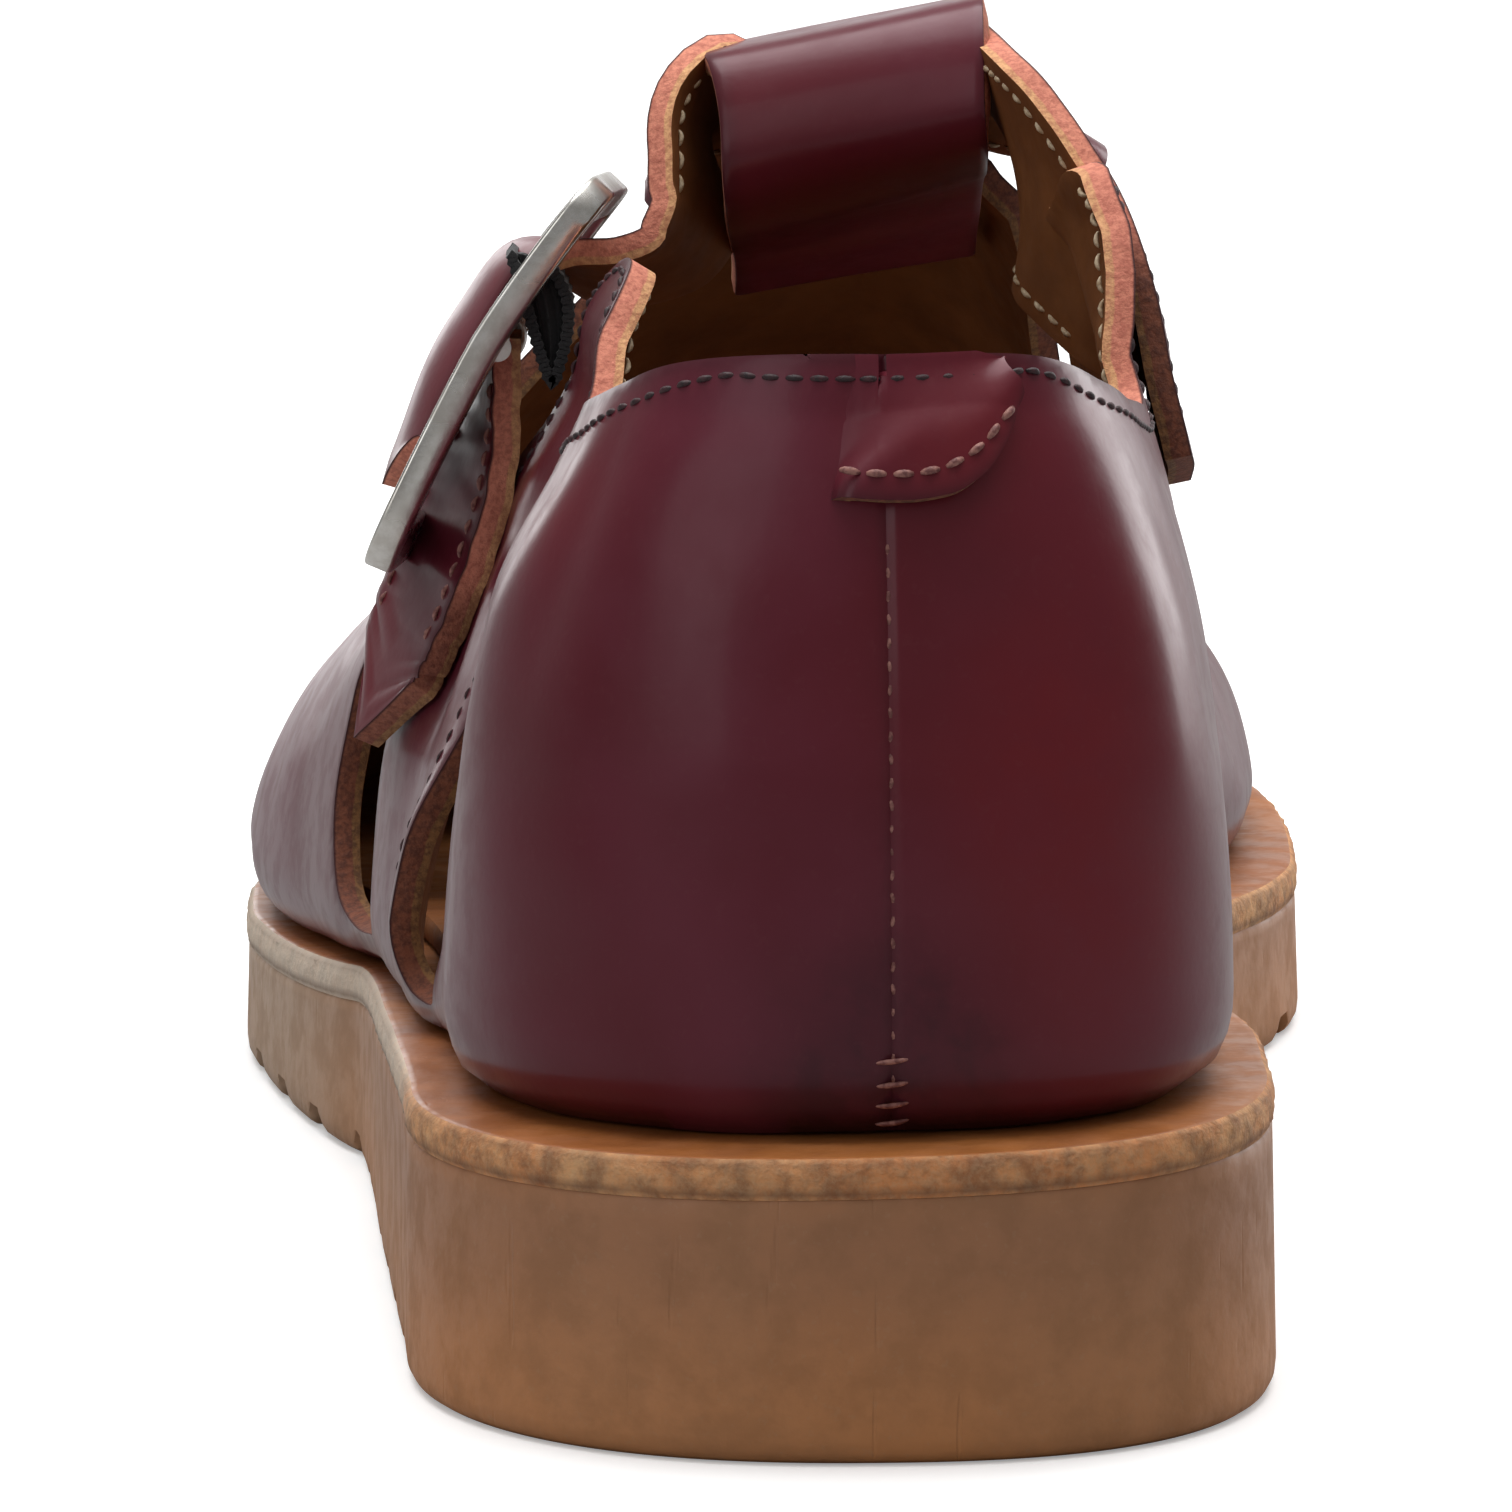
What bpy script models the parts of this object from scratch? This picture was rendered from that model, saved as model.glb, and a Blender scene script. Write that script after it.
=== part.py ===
"""Left sandal of the fisherman kind: wedge rubber sole, leather midsole, closed heel, T-bar and ankle buckle.

Frame: +Y runs to the toe, +X to the inner (medial) side of the left foot, +Z up, floor at z = 0.
All tables are in millimetres, with the back of the heel near y = 0; the whole shoe is centred at the end.
"""
import math

import bmesh
import bpy
import numpy as np
from mathutils import Vector

MM = 0.001
GAP = 0.3            # clearance between pieces that rest on each other
WALL = 2.6           # upper leather with its lining
MIDSOLE = 3.2        # leather midsole
INSOLE = 2.5
CENTRE = (-2.55, 151.0)   # middle of the sole's box, moved to the origin at the end

# Sole plan between the two end caps: y, then x of the rim and of the feather line on each side.
SOLE = {
    "columns": ("y", "rim_lateral", "rim_medial", "feather_lateral", "feather_medial"),
    "rows": [
        (45, -37.0, 37.6, -29.6, 29.4), (60, -38.0, 37.8, -31.0, 29.7), (72, -38.8, 37.2, -32.4, 29.0),
        (80, -39.3, 36.4, -34.4, 28.4), (100, -40.6, 34.0, -36.2, 26.4), (125, -42.0, 31.9, -38.2, 24.8),
        (146, -43.8, 32.2, -40.4, 25.0), (152, -45.9, 33.0, -41.8, 25.4), (170, -50.6, 36.8, -45.6, 28.2),
        (190, -54.4, 43.0, -49.6, 33.8), (205, -56.4, 48.0, -51.4, 38.2), (220, -56.8, 51.0, -51.8, 41.6),
        (235, -55.4, 51.7, -50.4, 43.6)],
}
# End caps: y where the cap starts, y of its tip, and the x that its tip is centred on.
HEEL_CAP = {"rim": (45, 2.0, 3.0), "feather": (45, 13.0, 4.2), "round": 2.35}
TOE_CAP = {"rim": (235, 300.0, 6.0), "feather": (235, 292.5, 7.0), "round": 2.15}

# Side profile of the sole: y, top of the rubber, bottom of the rubber (toe spring).
WEDGE = [(0, 22.2, 0), (50, 22.0, 0), (75, 21.1, 0), (100, 19.6, 0), (125, 17.7, 0), (148, 15.7, 0),
         (170, 14.1, 0), (190, 13.0, 0), (215, 12.3, 0), (236, 12.3, 0), (260, 13.6, 1.6), (280, 15.8, 3.9),
         (300, 18.6, 6.8)]
TILT = 0.018         # the seat rises a little to the inner side

# The last, section by section: u runs from the back seam (0) to the toe tip (1).
LAST = {
    "columns": ("u", "ridge_x", "ridge_y", "ridge_z", "round_lateral", "round_medial",
                "swell_lateral", "swell_medial", "swell_top"),
    "rows": [
        (0.00, 3.2, 27, 104, 2.6, 2.6, 4.4, 4.4, 0.76),
        (0.07, 2.8, 34, 104, 2.6, 2.6, 4.2, 4.5, 0.76),
        (0.14, 3.0, 48, 106, 2.4, 2.5, 3.8, 4.5, 0.80),
        (0.22, 4.0, 73, 113, 1.45, 2.3, 3.6, 4.2, 0.90),
        (0.31, 6.0, 104, 111.0, 1.5, 3.2, 3.8, 3.8, 1.00),
        (0.385, 8.0, 128, 101.5, 2.4, 3.8, 3.8, 3.8, 1.00),
        (0.46, 6.5, 151, 92.5, 2.3, 3.0, 4.4, 4.0, 1.00),
        (0.53, 5.0, 172, 78, 2.1, 2.5, 4.6, 4.0, 1.00),
        (0.60, 4.5, 193, 66.5, 2.1, 2.3, 4.9, 4.0, 1.00),
        (0.68, 4.5, 216, 58.5, 2.15, 2.3, 4.9, 4.0, 1.00),
        (0.76, 5.0, 238, 52.5, 2.4, 2.4, 5.0, 4.0, 1.00),
        (0.87, 6.0, 259, 48.0, 2.5, 2.5, 4.2, 4.0, 1.00),
        (1.00, 7.0, 273, 46.6, 2.6, 2.6, 3.6, 3.6, 1.00)],
}

# Side views (y, z) of what the upper leaves open. The base of each opening stays above the lasting margin.
COLLAR_LATERAL = [
    (-20, 90.5), (0, 90.5), (13, 90.5), (22, 89.6), (32, 86.6), (42, 84.0), (52, 83.2), (60, 84.8), (67, 88.2),
    (73, 91.8), (78, 93.6), (84, 92.6), (92, 86.6), (100, 76), (106.4, 62), (112.4, 48), (117.6, 36), (122, 26.5),
    (128, 24.6), (143, 23.2), (149, 25.5), (153, 34), (152, 43), (149.5, 52), (148.5, 60), (149, 68), (150, 76),
    (150.5, 85), (152, 96), (153, 112)]
COLLAR_MEDIAL = [
    (-20, 90.5), (0, 90.5), (13, 90.5), (22, 89.6), (32, 86.6), (42, 84.0), (52, 82.4), (60, 82.2), (66, 83.6),
    (70, 87), (74, 90.2), (80, 92.2), (88, 93.4), (97, 94.2), (106, 94.4), (112.5, 93.4), (116, 89), (117.4, 80),
    (117.6, 68), (118, 56), (118.4, 45), (119.6, 34), (123, 26.5), (133, 24.4), (145, 24.4), (150.5, 29),
    (151.6, 40), (149.8, 52), (149.4, 66), (150, 76), (150.5, 85), (152, 96), (153, 112)]
SLIT = [(69.8, 28.4), (68.2, 36), (69, 44), (71.2, 50.6), (73.4, 52.8), (75.4, 51), (77, 44), (78.2, 36),
        (78.4, 28.6), (74.2, 27.0)]

# Plan views (x, y) of the slots between the woven bars, one row per slot.
SLOTS = [
    ((-10, 170.5), (-16, 170.2), (-26, 171.6), (-34, 175), (-37, 180), (-33, 183.6), (-24, 182), (-16, 180.6),
     (-10, 180.5), (-7.6, 175.5)),
    ((-9, 196), (-16, 196), (-27, 198), (-36, 202), (-39, 207), (-35, 210.4), (-26, 208.6), (-16, 206.8),
     (-9, 206.4), (-6.6, 201)),
    ((20, 170.5), (26, 170.4), (32, 172.4), (34.6, 176.4), (32, 180.6), (26, 180.8), (20, 180.4), (17.8, 175.5)),
    ((18, 196), (26, 196.4), (35, 199), (39, 203.6), (36, 208.4), (28, 207.6), (18, 206.4), (15.8, 201))]


# ---------------------------------------------------------------- curves
def smooth(rows, column, at):
    """Value of one table column at a station, by a cubic through the rows."""
    xs = [r[0] for r in rows]
    ys = [r[column] for r in rows]
    at = min(max(at, xs[0]), xs[-1])
    i = min(max(int(np.searchsorted(xs, at)) - 1, 0), len(xs) - 2)

    def slope(k):
        if k in (0, len(xs) - 1):
            a, b = (0, 1) if k == 0 else (k - 1, k)
            return (ys[b] - ys[a]) / (xs[b] - xs[a])
        left = (ys[k] - ys[k - 1]) / (xs[k] - xs[k - 1])
        right = (ys[k + 1] - ys[k]) / (xs[k + 1] - xs[k])
        return 0.0 if left * right <= 0 else 2 * left * right / (left + right)

    h = xs[i + 1] - xs[i]
    t = (at - xs[i]) / h
    return ((2 * t**3 - 3 * t**2 + 1) * ys[i] + (t**3 - 2 * t**2 + t) * h * slope(i)
            + (3 * t**2 - 2 * t**3) * ys[i + 1] + (t**3 - t**2) * h * slope(i + 1))


def curve_through(points, count):
    """Evenly spaced points on a Catmull-Rom curve through the given points of any dimension."""
    p = np.array(points, float)
    p = np.vstack([2 * p[0] - p[1], p, 2 * p[-1] - p[-2]])
    dense = []
    for i in range(1, len(p) - 2):
        for t in np.linspace(0, 1, 24, endpoint=False):
            dense.append(0.5 * (2 * p[i] + (p[i + 1] - p[i - 1]) * t
                                + (2 * p[i - 1] - 5 * p[i] + 4 * p[i + 1] - p[i + 2]) * t**2
                                + (3 * p[i] - p[i - 1] - 3 * p[i + 1] + p[i + 2]) * t**3))
    dense = np.array(dense + [p[-2]])
    run = np.r_[0, np.cumsum(np.linalg.norm(np.diff(dense[:, :3], axis=0), axis=1))]
    at = np.linspace(0, run[-1], count)
    return np.stack([np.interp(at, run, dense[:, k]) for k in range(dense.shape[1])], axis=1)


def rounded(outline, count):
    """A closed outline drawn as one smooth curve through its points."""
    looped = [outline[-1], *outline, outline[0], outline[1]]
    dense = curve_through([(a, b, 0) for a, b in looped], 40 * len(looped))
    first = int(np.argmin(np.linalg.norm(dense[:, :2] - np.array(outline[0]), axis=1)[:80 * 2]))
    last_one = len(dense) - 1 - int(np.argmin(np.linalg.norm(dense[::-1, :2] - np.array(outline[0]), axis=1)[:160]))
    pick = np.linspace(first, last_one, count, endpoint=False).round().astype(int)
    return [(float(dense[k, 0]), float(dense[k, 1])) for k in pick]


def side_x(y, line, side):
    """x of the rim or the feather line at a station, with the round caps at heel and toe."""
    column = {("rim", -1): 1, ("rim", 1): 2, ("feather", -1): 3, ("feather", 1): 4}[(line, side)]
    rows = SOLE["rows"]
    for cap, row in ((HEEL_CAP, rows[0]), (TOE_CAP, rows[-1])):
        start, tip, tip_x = cap[line]
        share = (y - start) / (tip - start)
        if share > 0:
            share = min(share, 1.0)
            middle = (row[column] + row[column - side]) / 2
            centre = middle + (tip_x - middle) * share**1.5
            half = abs(row[column] - middle)
            return centre + side * half * (1 - share**cap["round"])**(1 / cap["round"])
    return smooth(rows, column, y)


def stations(line, heel=9, mid=22, toe=12):
    """y of the sections, close together where the caps close."""
    start, tip, _ = HEEL_CAP[line]
    ys = [start - (start - tip) * math.cos(a * math.pi / 2 / heel) for a in range(heel)]
    toe_start, toe_tip, _ = TOE_CAP[line]
    ys += list(np.linspace(start, toe_start, mid, endpoint=False))
    ys += [toe_start + (toe_tip - toe_start) * math.sin(a * math.pi / 2 / toe) for a in range(toe + 1)]
    return ys


def top_of_rubber(x, y):
    return smooth(WEDGE, 1, y) + TILT * x


def seat(x, y):
    """Height of the surface that the upper stands on."""
    return top_of_rubber(x, y) + GAP + MIDSOLE + GAP


def feather_curve(side):
    """Feather line of one side as a dense curve from the back seam to the toe tip."""
    ys = stations("feather", 40, 80, 40)
    return np.array([(side_x(y, "feather", side), y) for y in ys])


FEATHER = {side: feather_curve(side) for side in (-1, 1)}
RUN = {side: np.r_[0, np.cumsum(np.linalg.norm(np.diff(c, axis=0), axis=1))] for side, c in FEATHER.items()}


def feather(u, side):
    """Point of the feather line at the share u of its length, and the outward direction there."""
    curve, run = FEATHER[side], RUN[side]

    def at(share):
        s = min(max(share, 0.0), 1.0) * run[-1]
        return np.array([np.interp(s, run, curve[:, 0]), np.interp(s, run, curve[:, 1])])

    along = at(u + 0.012) - at(u - 0.012)
    if u < 0.012:
        along[1] *= u / 0.012
    elif u > 0.988:
        along[1] *= (1 - u) / 0.012
    out = np.array([along[1], -along[0]]) * side
    return at(u), out / np.linalg.norm(out)


def last(u, side, t):
    """Point of the last: t = 0 at the feather line, 1 on the ridge over the foot."""
    row = [smooth(LAST["rows"], k, u) for k in range(1, 9)]
    ridge = np.array(row[0:2])
    roundness = row[3] if side < 0 else row[4]
    swell = row[5] if side < 0 else row[6]
    foot, out = feather(u, side)
    low = seat(foot[0], foot[1])
    angle = t * math.pi / 2
    rise = math.sin(angle)**(2 / roundness)
    lean = max(math.cos(angle), 0.0)**(2 / roundness)
    height = (row[2] - low) * rise
    bulge = math.sqrt(1 - (1 - min(1.0, height / 7.5))**2) * max(0.0, 1 - (rise / row[7])**3)
    place = ridge + (foot - ridge) * lean + out * swell * bulge
    return np.array([place[0], place[1], low + height])


def height_share(u, side, z):
    """The t at which the last reaches a height."""
    row = LAST["rows"]
    foot, _ = feather(u, side)
    low = seat(foot[0], foot[1])
    share = min(max((z - low) / (smooth(row, 3, u) - low), 0.0), 1.0)
    roundness = smooth(row, 4 if side < 0 else 5, u)
    return math.asin(share**(roundness / 2)) / (math.pi / 2)


def off_last(u, side, z, gap):
    """A point standing off the last by a gap, at a height."""
    t = height_share(u, side, z)
    here = last(u, side, t)
    up = last(u, side, min(t + 0.01, 1)) - last(u, side, max(t - 0.01, 0))
    low, high = max(u - 0.01, 0.001), min(u + 0.01, 0.999)
    along = last(high, side, t) - last(low, side, t)
    normal = np.cross(along, up) * side
    return here + normal / np.linalg.norm(normal) * gap


# ---------------------------------------------------------------- making
def material(name, colour, roughness, metallic=0.0):
    m = bpy.data.materials.new(name)
    m.use_nodes = True
    shader = m.node_tree.nodes["Principled BSDF"]
    shader.inputs["Base Color"].default_value = (*colour, 1)
    shader.inputs["Roughness"].default_value = roughness
    shader.inputs["Metallic"].default_value = metallic
    return m


def place(name, bm, mat, sharp=40):
    """Finish a bmesh as one object; millimetres become metres about the middle of the sole."""
    shift = Vector((CENTRE[0], CENTRE[1], 0))
    for v in bm.verts:
        v.co = (v.co - shift) * MM
    bmesh.ops.recalc_face_normals(bm, faces=bm.faces)
    mesh = bpy.data.meshes.new(name)
    bm.to_mesh(mesh)
    bm.free()
    obj = bpy.data.objects.new(name, mesh)
    bpy.context.scene.collection.objects.link(obj)
    mesh.materials.append(mat)
    mesh.shade_smooth()
    mesh.set_sharp_from_angle(angle=math.radians(sharp))
    return obj


def cutter(name, bm):
    obj = place(name, bm, STEEL)
    obj.hide_render = True
    obj.display_type = "WIRE"
    return obj


def cut(obj, tool, operation="DIFFERENCE"):
    mod = obj.modifiers.new(tool.name, "BOOLEAN")
    mod.operation = operation
    mod.solver = "EXACT"
    mod.object = tool


def thicken(obj, thickness, offset):
    mod = obj.modifiers.new("thickness", "SOLIDIFY")
    mod.thickness = thickness * MM
    mod.offset = offset
    return mod


def prism(bm, outline, axis, low, high):
    """Extrude a closed outline, given in the two other axes, along x or z."""
    if axis == "x":
        verts = [bm.verts.new((low, a, b)) for a, b in outline]
        step = Vector((high - low, 0, 0))
    else:
        verts = [bm.verts.new((a, b, low)) for a, b in outline]
        step = Vector((0, 0, high - low))
    face = bm.faces.new(verts)
    moved = bmesh.ops.extrude_face_region(bm, geom=[face])["geom"]
    bmesh.ops.translate(bm, verts=[g for g in moved if isinstance(g, bmesh.types.BMVert)], vec=step)
    return bm


def slab(name, mat, line, rings, counts=(9, 22, 12)):
    """A sole layer: closed rings of one plan line, each with an inset and a height function of x and y."""
    ys = stations(line, *counts)
    bm = bmesh.new()
    made = []
    for inset, height in rings:
        sides = {}
        for side in (-1, 1):
            pts = np.array([(side_x(y, line, side), y) for y in ys])
            along = np.gradient(pts, axis=0)
            out = np.stack([along[:, 1], -along[:, 0]], axis=1) * side
            out[0], out[-1] = (0, -1), (0, 1)
            out /= np.linalg.norm(out, axis=1)[:, None]
            pts = pts - out * inset
            sides[side] = [(x, y, height(x, y)) for x, y in pts]
        ring = {side: [bm.verts.new(p) for p in sides[side][1:-1]] for side in (-1, 1)}
        ends = [bm.verts.new(sides[1][0]), bm.verts.new(sides[1][-1])]
        made.append((ring, ends))
    for (ring_a, ends_a), (ring_b, ends_b) in zip(made, made[1:]):
        for side in (-1, 1):
            a = [ends_a[0], *ring_a[side], ends_a[1]]
            b = [ends_b[0], *ring_b[side], ends_b[1]]
            for i in range(len(a) - 1):
                bm.faces.new((a[i], a[i + 1], b[i + 1], b[i]))
    for ring, ends in (made[0], made[-1]):
        left, right = ring[-1], ring[1]
        bm.faces.new((ends[0], left[0], right[0]))
        bm.faces.new((ends[1], left[-1], right[-1]))
        for i in range(len(left) - 1):
            bm.faces.new((left[i], left[i + 1], right[i + 1], right[i]))
    return place(name, bm, mat)


def ribbon(name, mat, rows, thickness, count, across=4, point=0.0):
    """A strap: rows of x, y, z, width, face, lean, cup along its centre line. face is the way it looks out, in
    degrees from the inner side (0) over the top (90) to the outer side (180), lean turns it towards the toe,
    and cup is how far its edges hug inwards. point is how far its end narrows to a tip."""
    path = curve_through(rows, count)
    step = np.linalg.norm(path[1, :3] - path[0, :3])
    bm = bmesh.new()
    lines = []
    for i, (x, y, z, width, face, lean, cup) in enumerate(path):
        centre = np.array([x, y, z])
        along = path[min(i + 1, count - 1), :3] - path[max(i - 1, 0), :3]
        along /= np.linalg.norm(along)
        out = np.array([math.cos(math.radians(face)), lean, math.sin(math.radians(face))])
        out -= along * out.dot(along)
        out /= np.linalg.norm(out)
        over = np.cross(along, out)
        left = (count - 1 - i) * step
        back = point * max(0.0, 1 - left / (2.6 * point))**2 if point else 0.0
        lines.append([bm.verts.new(centre + over * s * width / 2 - along * back * abs(s) - out * cup * s * s)
                      for s in (2 * k / across - 1 for k in range(across + 1))])
    for a, b in zip(lines, lines[1:]):
        for k in range(across):
            bm.faces.new((a[k], a[k + 1], b[k + 1], b[k]))
    obj = place(name, bm, mat)
    thicken(obj, thickness, 0.0)
    return obj


def crown(x, y):
    """Height of the last above a point of its plan, found by stepping over its u and t."""
    side = 1 if x >= smooth([(r[2], r[1]) for r in LAST["rows"]], 1, y) else -1
    u = smooth([(r[2], r[0]) for r in LAST["rows"]], 1, y)
    t = 0.85
    for _ in range(14):
        p = last(u, side, t)
        du = (last(u + 1e-3, side, t) - p) / 1e-3
        dt = (last(u, side, t - 1e-3) - p) / -1e-3
        grid_step = np.array([[du[0], dt[0]], [du[1], dt[1]]])
        move = np.linalg.solve(grid_step, np.array([x, y]) - p[:2])
        u, t = min(max(u + move[0], 0.02), 0.98), min(max(t + move[1], 0.2), 0.999)
    return last(u, side, t)[2]


# ---------------------------------------------------------------- pieces
for old in list(bpy.data.objects):
    bpy.data.objects.remove(old)

BURGUNDY = material("burgundy_leather", (0.085, 0.012, 0.014), 0.32)
TAN = material("tan_leather", (0.42, 0.17, 0.06), 0.6)
LINING = material("lining_leather", (0.30, 0.13, 0.05), 0.65)
RUBBER = material("brown_rubber", (0.21, 0.12, 0.062), 0.72)
BLACK = material("black_elastic", (0.01, 0.01, 0.01), 0.85)
STEEL = material("buckle_metal", (0.62, 0.60, 0.56), 0.24, 1.0)

# Outsole: a wedge with rounded lower edge and toe spring, cut across by the ribs of its tread.
floor = lambda x, y: smooth(WEDGE, 2, y)
outsole = slab("outsole", RUBBER, "rim", [
    (1.6, lambda x, y: floor(x, y)), (0.5, lambda x, y: floor(x, y) + 0.4),
    (0.0, lambda x, y: floor(x, y) + 1.8), (0.3, top_of_rubber)])
grooves = bmesh.new()
for k in range(15):
    y = 50 + 15.8 * k
    base = floor(0, y)
    prism(grooves, [(y - 3.2, base - 2), (y + 3.6, base - 2), (y + 2.4, base + 2.6), (y - 1.2, base + 2.6)],
          "x", -70, 70)
cut(outsole, cutter("tread_grooves", grooves))

slab("midsole", TAN, "rim", [
    (0.7, lambda x, y: top_of_rubber(x, y) + GAP), (0.2, lambda x, y: top_of_rubber(x, y) + GAP + 0.8),
    (0.2, lambda x, y: seat(x, y) - GAP - 0.7), (0.8, lambda x, y: seat(x, y) - GAP)])

slab("insole", LINING, "feather", [
    (2.2, lambda x, y: seat(x, y) + WALL + GAP), (2.0, lambda x, y: seat(x, y) + WALL + GAP + INSOLE)],
    (7, 16, 8))

# Upper: the surface of the last with a lasting margin turned in under it, thickened, then cut open.
SECTIONS, RISERS = 38, 17
shell = bmesh.new()
grid = {}
for i in range(SECTIONS + 1):
    u = i / SECTIONS
    for side in (-1, 1):
        for j in range(-1, RISERS + 1):
            key = (i, 0 if i in (0, SECTIONS) or j == RISERS else side, j)
            if key in grid:
                continue
            if j < 0:
                foot, out = feather(u, side)
                inner = foot - out * 8.5
                spot = (inner[0], inner[1], seat(inner[0], inner[1]))
            else:
                spot = last(u, side, (j / RISERS)**1.15)
            grid[key] = shell.verts.new(spot)
for i in range(SECTIONS):
    for side in (-1, 1):
        for j in range(-1, RISERS):
            corners = []
            for a, b in ((i, j), (i + 1, j), (i + 1, j + 1), (i, j + 1)):
                v = grid[(a, 0 if a in (0, SECTIONS) or b == RISERS else side, b)]
                if v not in corners:
                    corners.append(v)
            shell.faces.new(corners)
upper = place("upper", shell, BURGUNDY)
thicken(upper, WALL, -1.0)


def above(line, count):
    """Everything above a side-view line, as a closed outline."""
    pts = curve_through([(a, b, 0) for a, b in line], count)
    return [(float(a), float(b)) for a, b, _ in pts] + [(line[-1][0], 135), (line[0][0], 135)]


opening = prism(bmesh.new(), above(COLLAR_LATERAL, 56), "x", -75, 18)
cut(upper, cutter("collar_lateral", opening))
opening = prism(bmesh.new(), above(COLLAR_MEDIAL, 60), "x", 17.9, 75)
cut(upper, cutter("collar_medial", opening))
slits = bmesh.new()
prism(slits, rounded(SLIT, 20), "x", -60, -10)
prism(slits, rounded(SLIT, 20), "x", 12, 60)
cut(upper, cutter("side_slits", slits))
slots = bmesh.new()
for outline in SLOTS:
    prism(slots, rounded(outline, 20), "z", 36, 110)
cut(upper, cutter("slots", slots))

# Heel tab: the pull of the outer quarter that laps over the back seam under the collar.
tab = bmesh.new()
TAB = [  # signed u along the collar, height of its lower edge
    (-0.022, 80.0), (-0.006, 79.2), (0.010, 79.3), (0.024, 80.2), (0.036, 82.2), (0.046, 85.2)]
lines = []
for u, low in TAB:
    side = -1 if u < 0 else 1
    rows = []
    for z in np.linspace(low, 90.2 - 70 * max(0, abs(u) - 0.035), 4):
        rows.append(tab.verts.new(off_last(max(abs(u), 0.0015), side, z, 1.15)))
    lines.append(rows)
for a, b in zip(lines, lines[1:]):
    for k in range(3):
        tab.faces.new((a[k], a[k + 1], b[k + 1], b[k]))
thicken(place("heel_tab", tab, BURGUNDY), 1.2, 0.0)

# Ankle strap: from the inner quarter over the instep, then out under the buckle's top bar and over its
# centre bar. The first rows lie on the last; the rest hang free.
strap = [(*off_last(u, 1, z, gap), w, face, lean, cup) for u, z, w, face, lean, cup, gap in (
    (0.241, 73.4, 18.5, 12, 0.0, 0.2, 2.0), (0.246, 80.0, 19, 13, 0.0, 0.2, 2.0), (0.256, 87.0, 19.2, 18, 0.0, 0.4, 2.0),
    (0.274, 93.4, 19.2, 24, 0.0, 0.8, 2.1), (0.298, 99.0, 19.2, 34, 0.05, 1.4, 2.1))]
strap += [(23.3, 103.2, 102.6, 17.8, 44, 0.12, 1.8), (20.0, 113.2, 105.0, 17.4, 62, 0.2, 1.6),
          (14.4, 120.8, 106.2, 17.6, 82, 0.24, 1.0), (7.4, 123.8, 105.2, 18, 97, 0.25, 0.3),
          (-1.0, 124.0, 103.8, 18.2, 101, 0.25, 0), (-7.6, 122.8, 102.2, 18.4, 108, 0.25, 0),
          (-12.0, 120.0, 99.2, 18.8, 125, 0.25, 0), (-15.0, 116.2, 95.4, 19, 140, 0.2, 0),
          (-16.9, 112.8, 91.6, 19, 138, 0.1, 0), (-19.8, 110.4, 89.4, 19, 105, 0.0, 0),
          (-25.4, 109.2, 89.6, 19, 100, 0.0, 0), (-30.2, 109.0, 87.7, 19, 130, 0.0, 0),
          (-33.6, 109.0, 82.2, 19, 150, 0.0, 0), (-36.2, 109.0, 76.0, 19, 160, 0.0, 0),
          (-38.2, 109.0, 69.2, 17, 160, 0.0, 0)]
ankle = ribbon("ankle_strap", BURGUNDY, strap, 2.4, 50, point=5.0)

# T-bar strap: up from the throat, over the ankle strap, round its rear edge and back down inside.
LOOP = [  # y at the outer side, y at the inner side, height at the outer side, height at the inner side
    (150, 150, 93.6, 97.4), (144.5, 144.5, 97.2, 101.8), (137, 136.4, 101.6, 107.0), (129, 127.6, 104.9, 110.4),
    (121, 117, 106.5, 112.0), (110.6, 103.8, 106.4, 112.0), (105.4, 98.0, 102.4, 107.8),
    (105.8, 98.6, 96.6, 101.8), (110.4, 105, 92.4, 97.2), (119, 116, 89.4, 93.8), (130, 129, 86.8, 90.8),
    (140, 140, 84.2, 87.4)]
columns = []
for k in range(6):
    s = k / 5
    x = -11 + 26.5 * s
    rows = [(y, crown(x, y) + 2.7) for y in (182, 175, 168, 161, 155.5)]
    rows += [(y_out + (y_in - y_out) * s, z_out + (z_in - z_out) * s) for y_out, y_in, z_out, z_in in LOOP]
    columns.append([(x, y, z) for _, y, z in curve_through([(0, y, z) for y, z in rows], 44)])
bm = bmesh.new()
lines = [[bm.verts.new(c[i]) for c in columns] for i in range(44)]
for a, b in zip(lines, lines[1:]):
    for k in range(5):
        bm.faces.new((a[k], a[k + 1], b[k + 1], b[k]))
thicken(place("tee_strap", bm, BURGUNDY), 2.2, 0.0)

# Chape tab: the pointed underlay that hangs from the centre bar over the outer quarter.
tab_path = [(-28.2, 108.8, 80.4, 18, 155, 0.0, 0), (-30.8, 108.8, 74.0, 18, 155, 0.0, 0),
            (-33.8, 108.8, 66.6, 18, 155, -0.05, 0), (-37.6, 108.8, 58.6, 18, 155, -0.2, 0),
            (-42.2, 108.8, 48.2, 18, 155, -0.3, 0)]
ribbon("chape_tab", BURGUNDY, tab_path, 2.6, 16, point=8.0)

# Buckle: a bowed frame with a centre bar; its side bars follow one arc down the ankle.
FRAME_TOP, FRAME_MID, FRAME_END = (-19.4, 97.6), (-30.0, 83.4), (-40.4, 62.8)
FRAME_Y, FRAME_WIDTH, BAR, BAR_DEPTH = 109.0, 29.0, 4.2, 2.2


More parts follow.
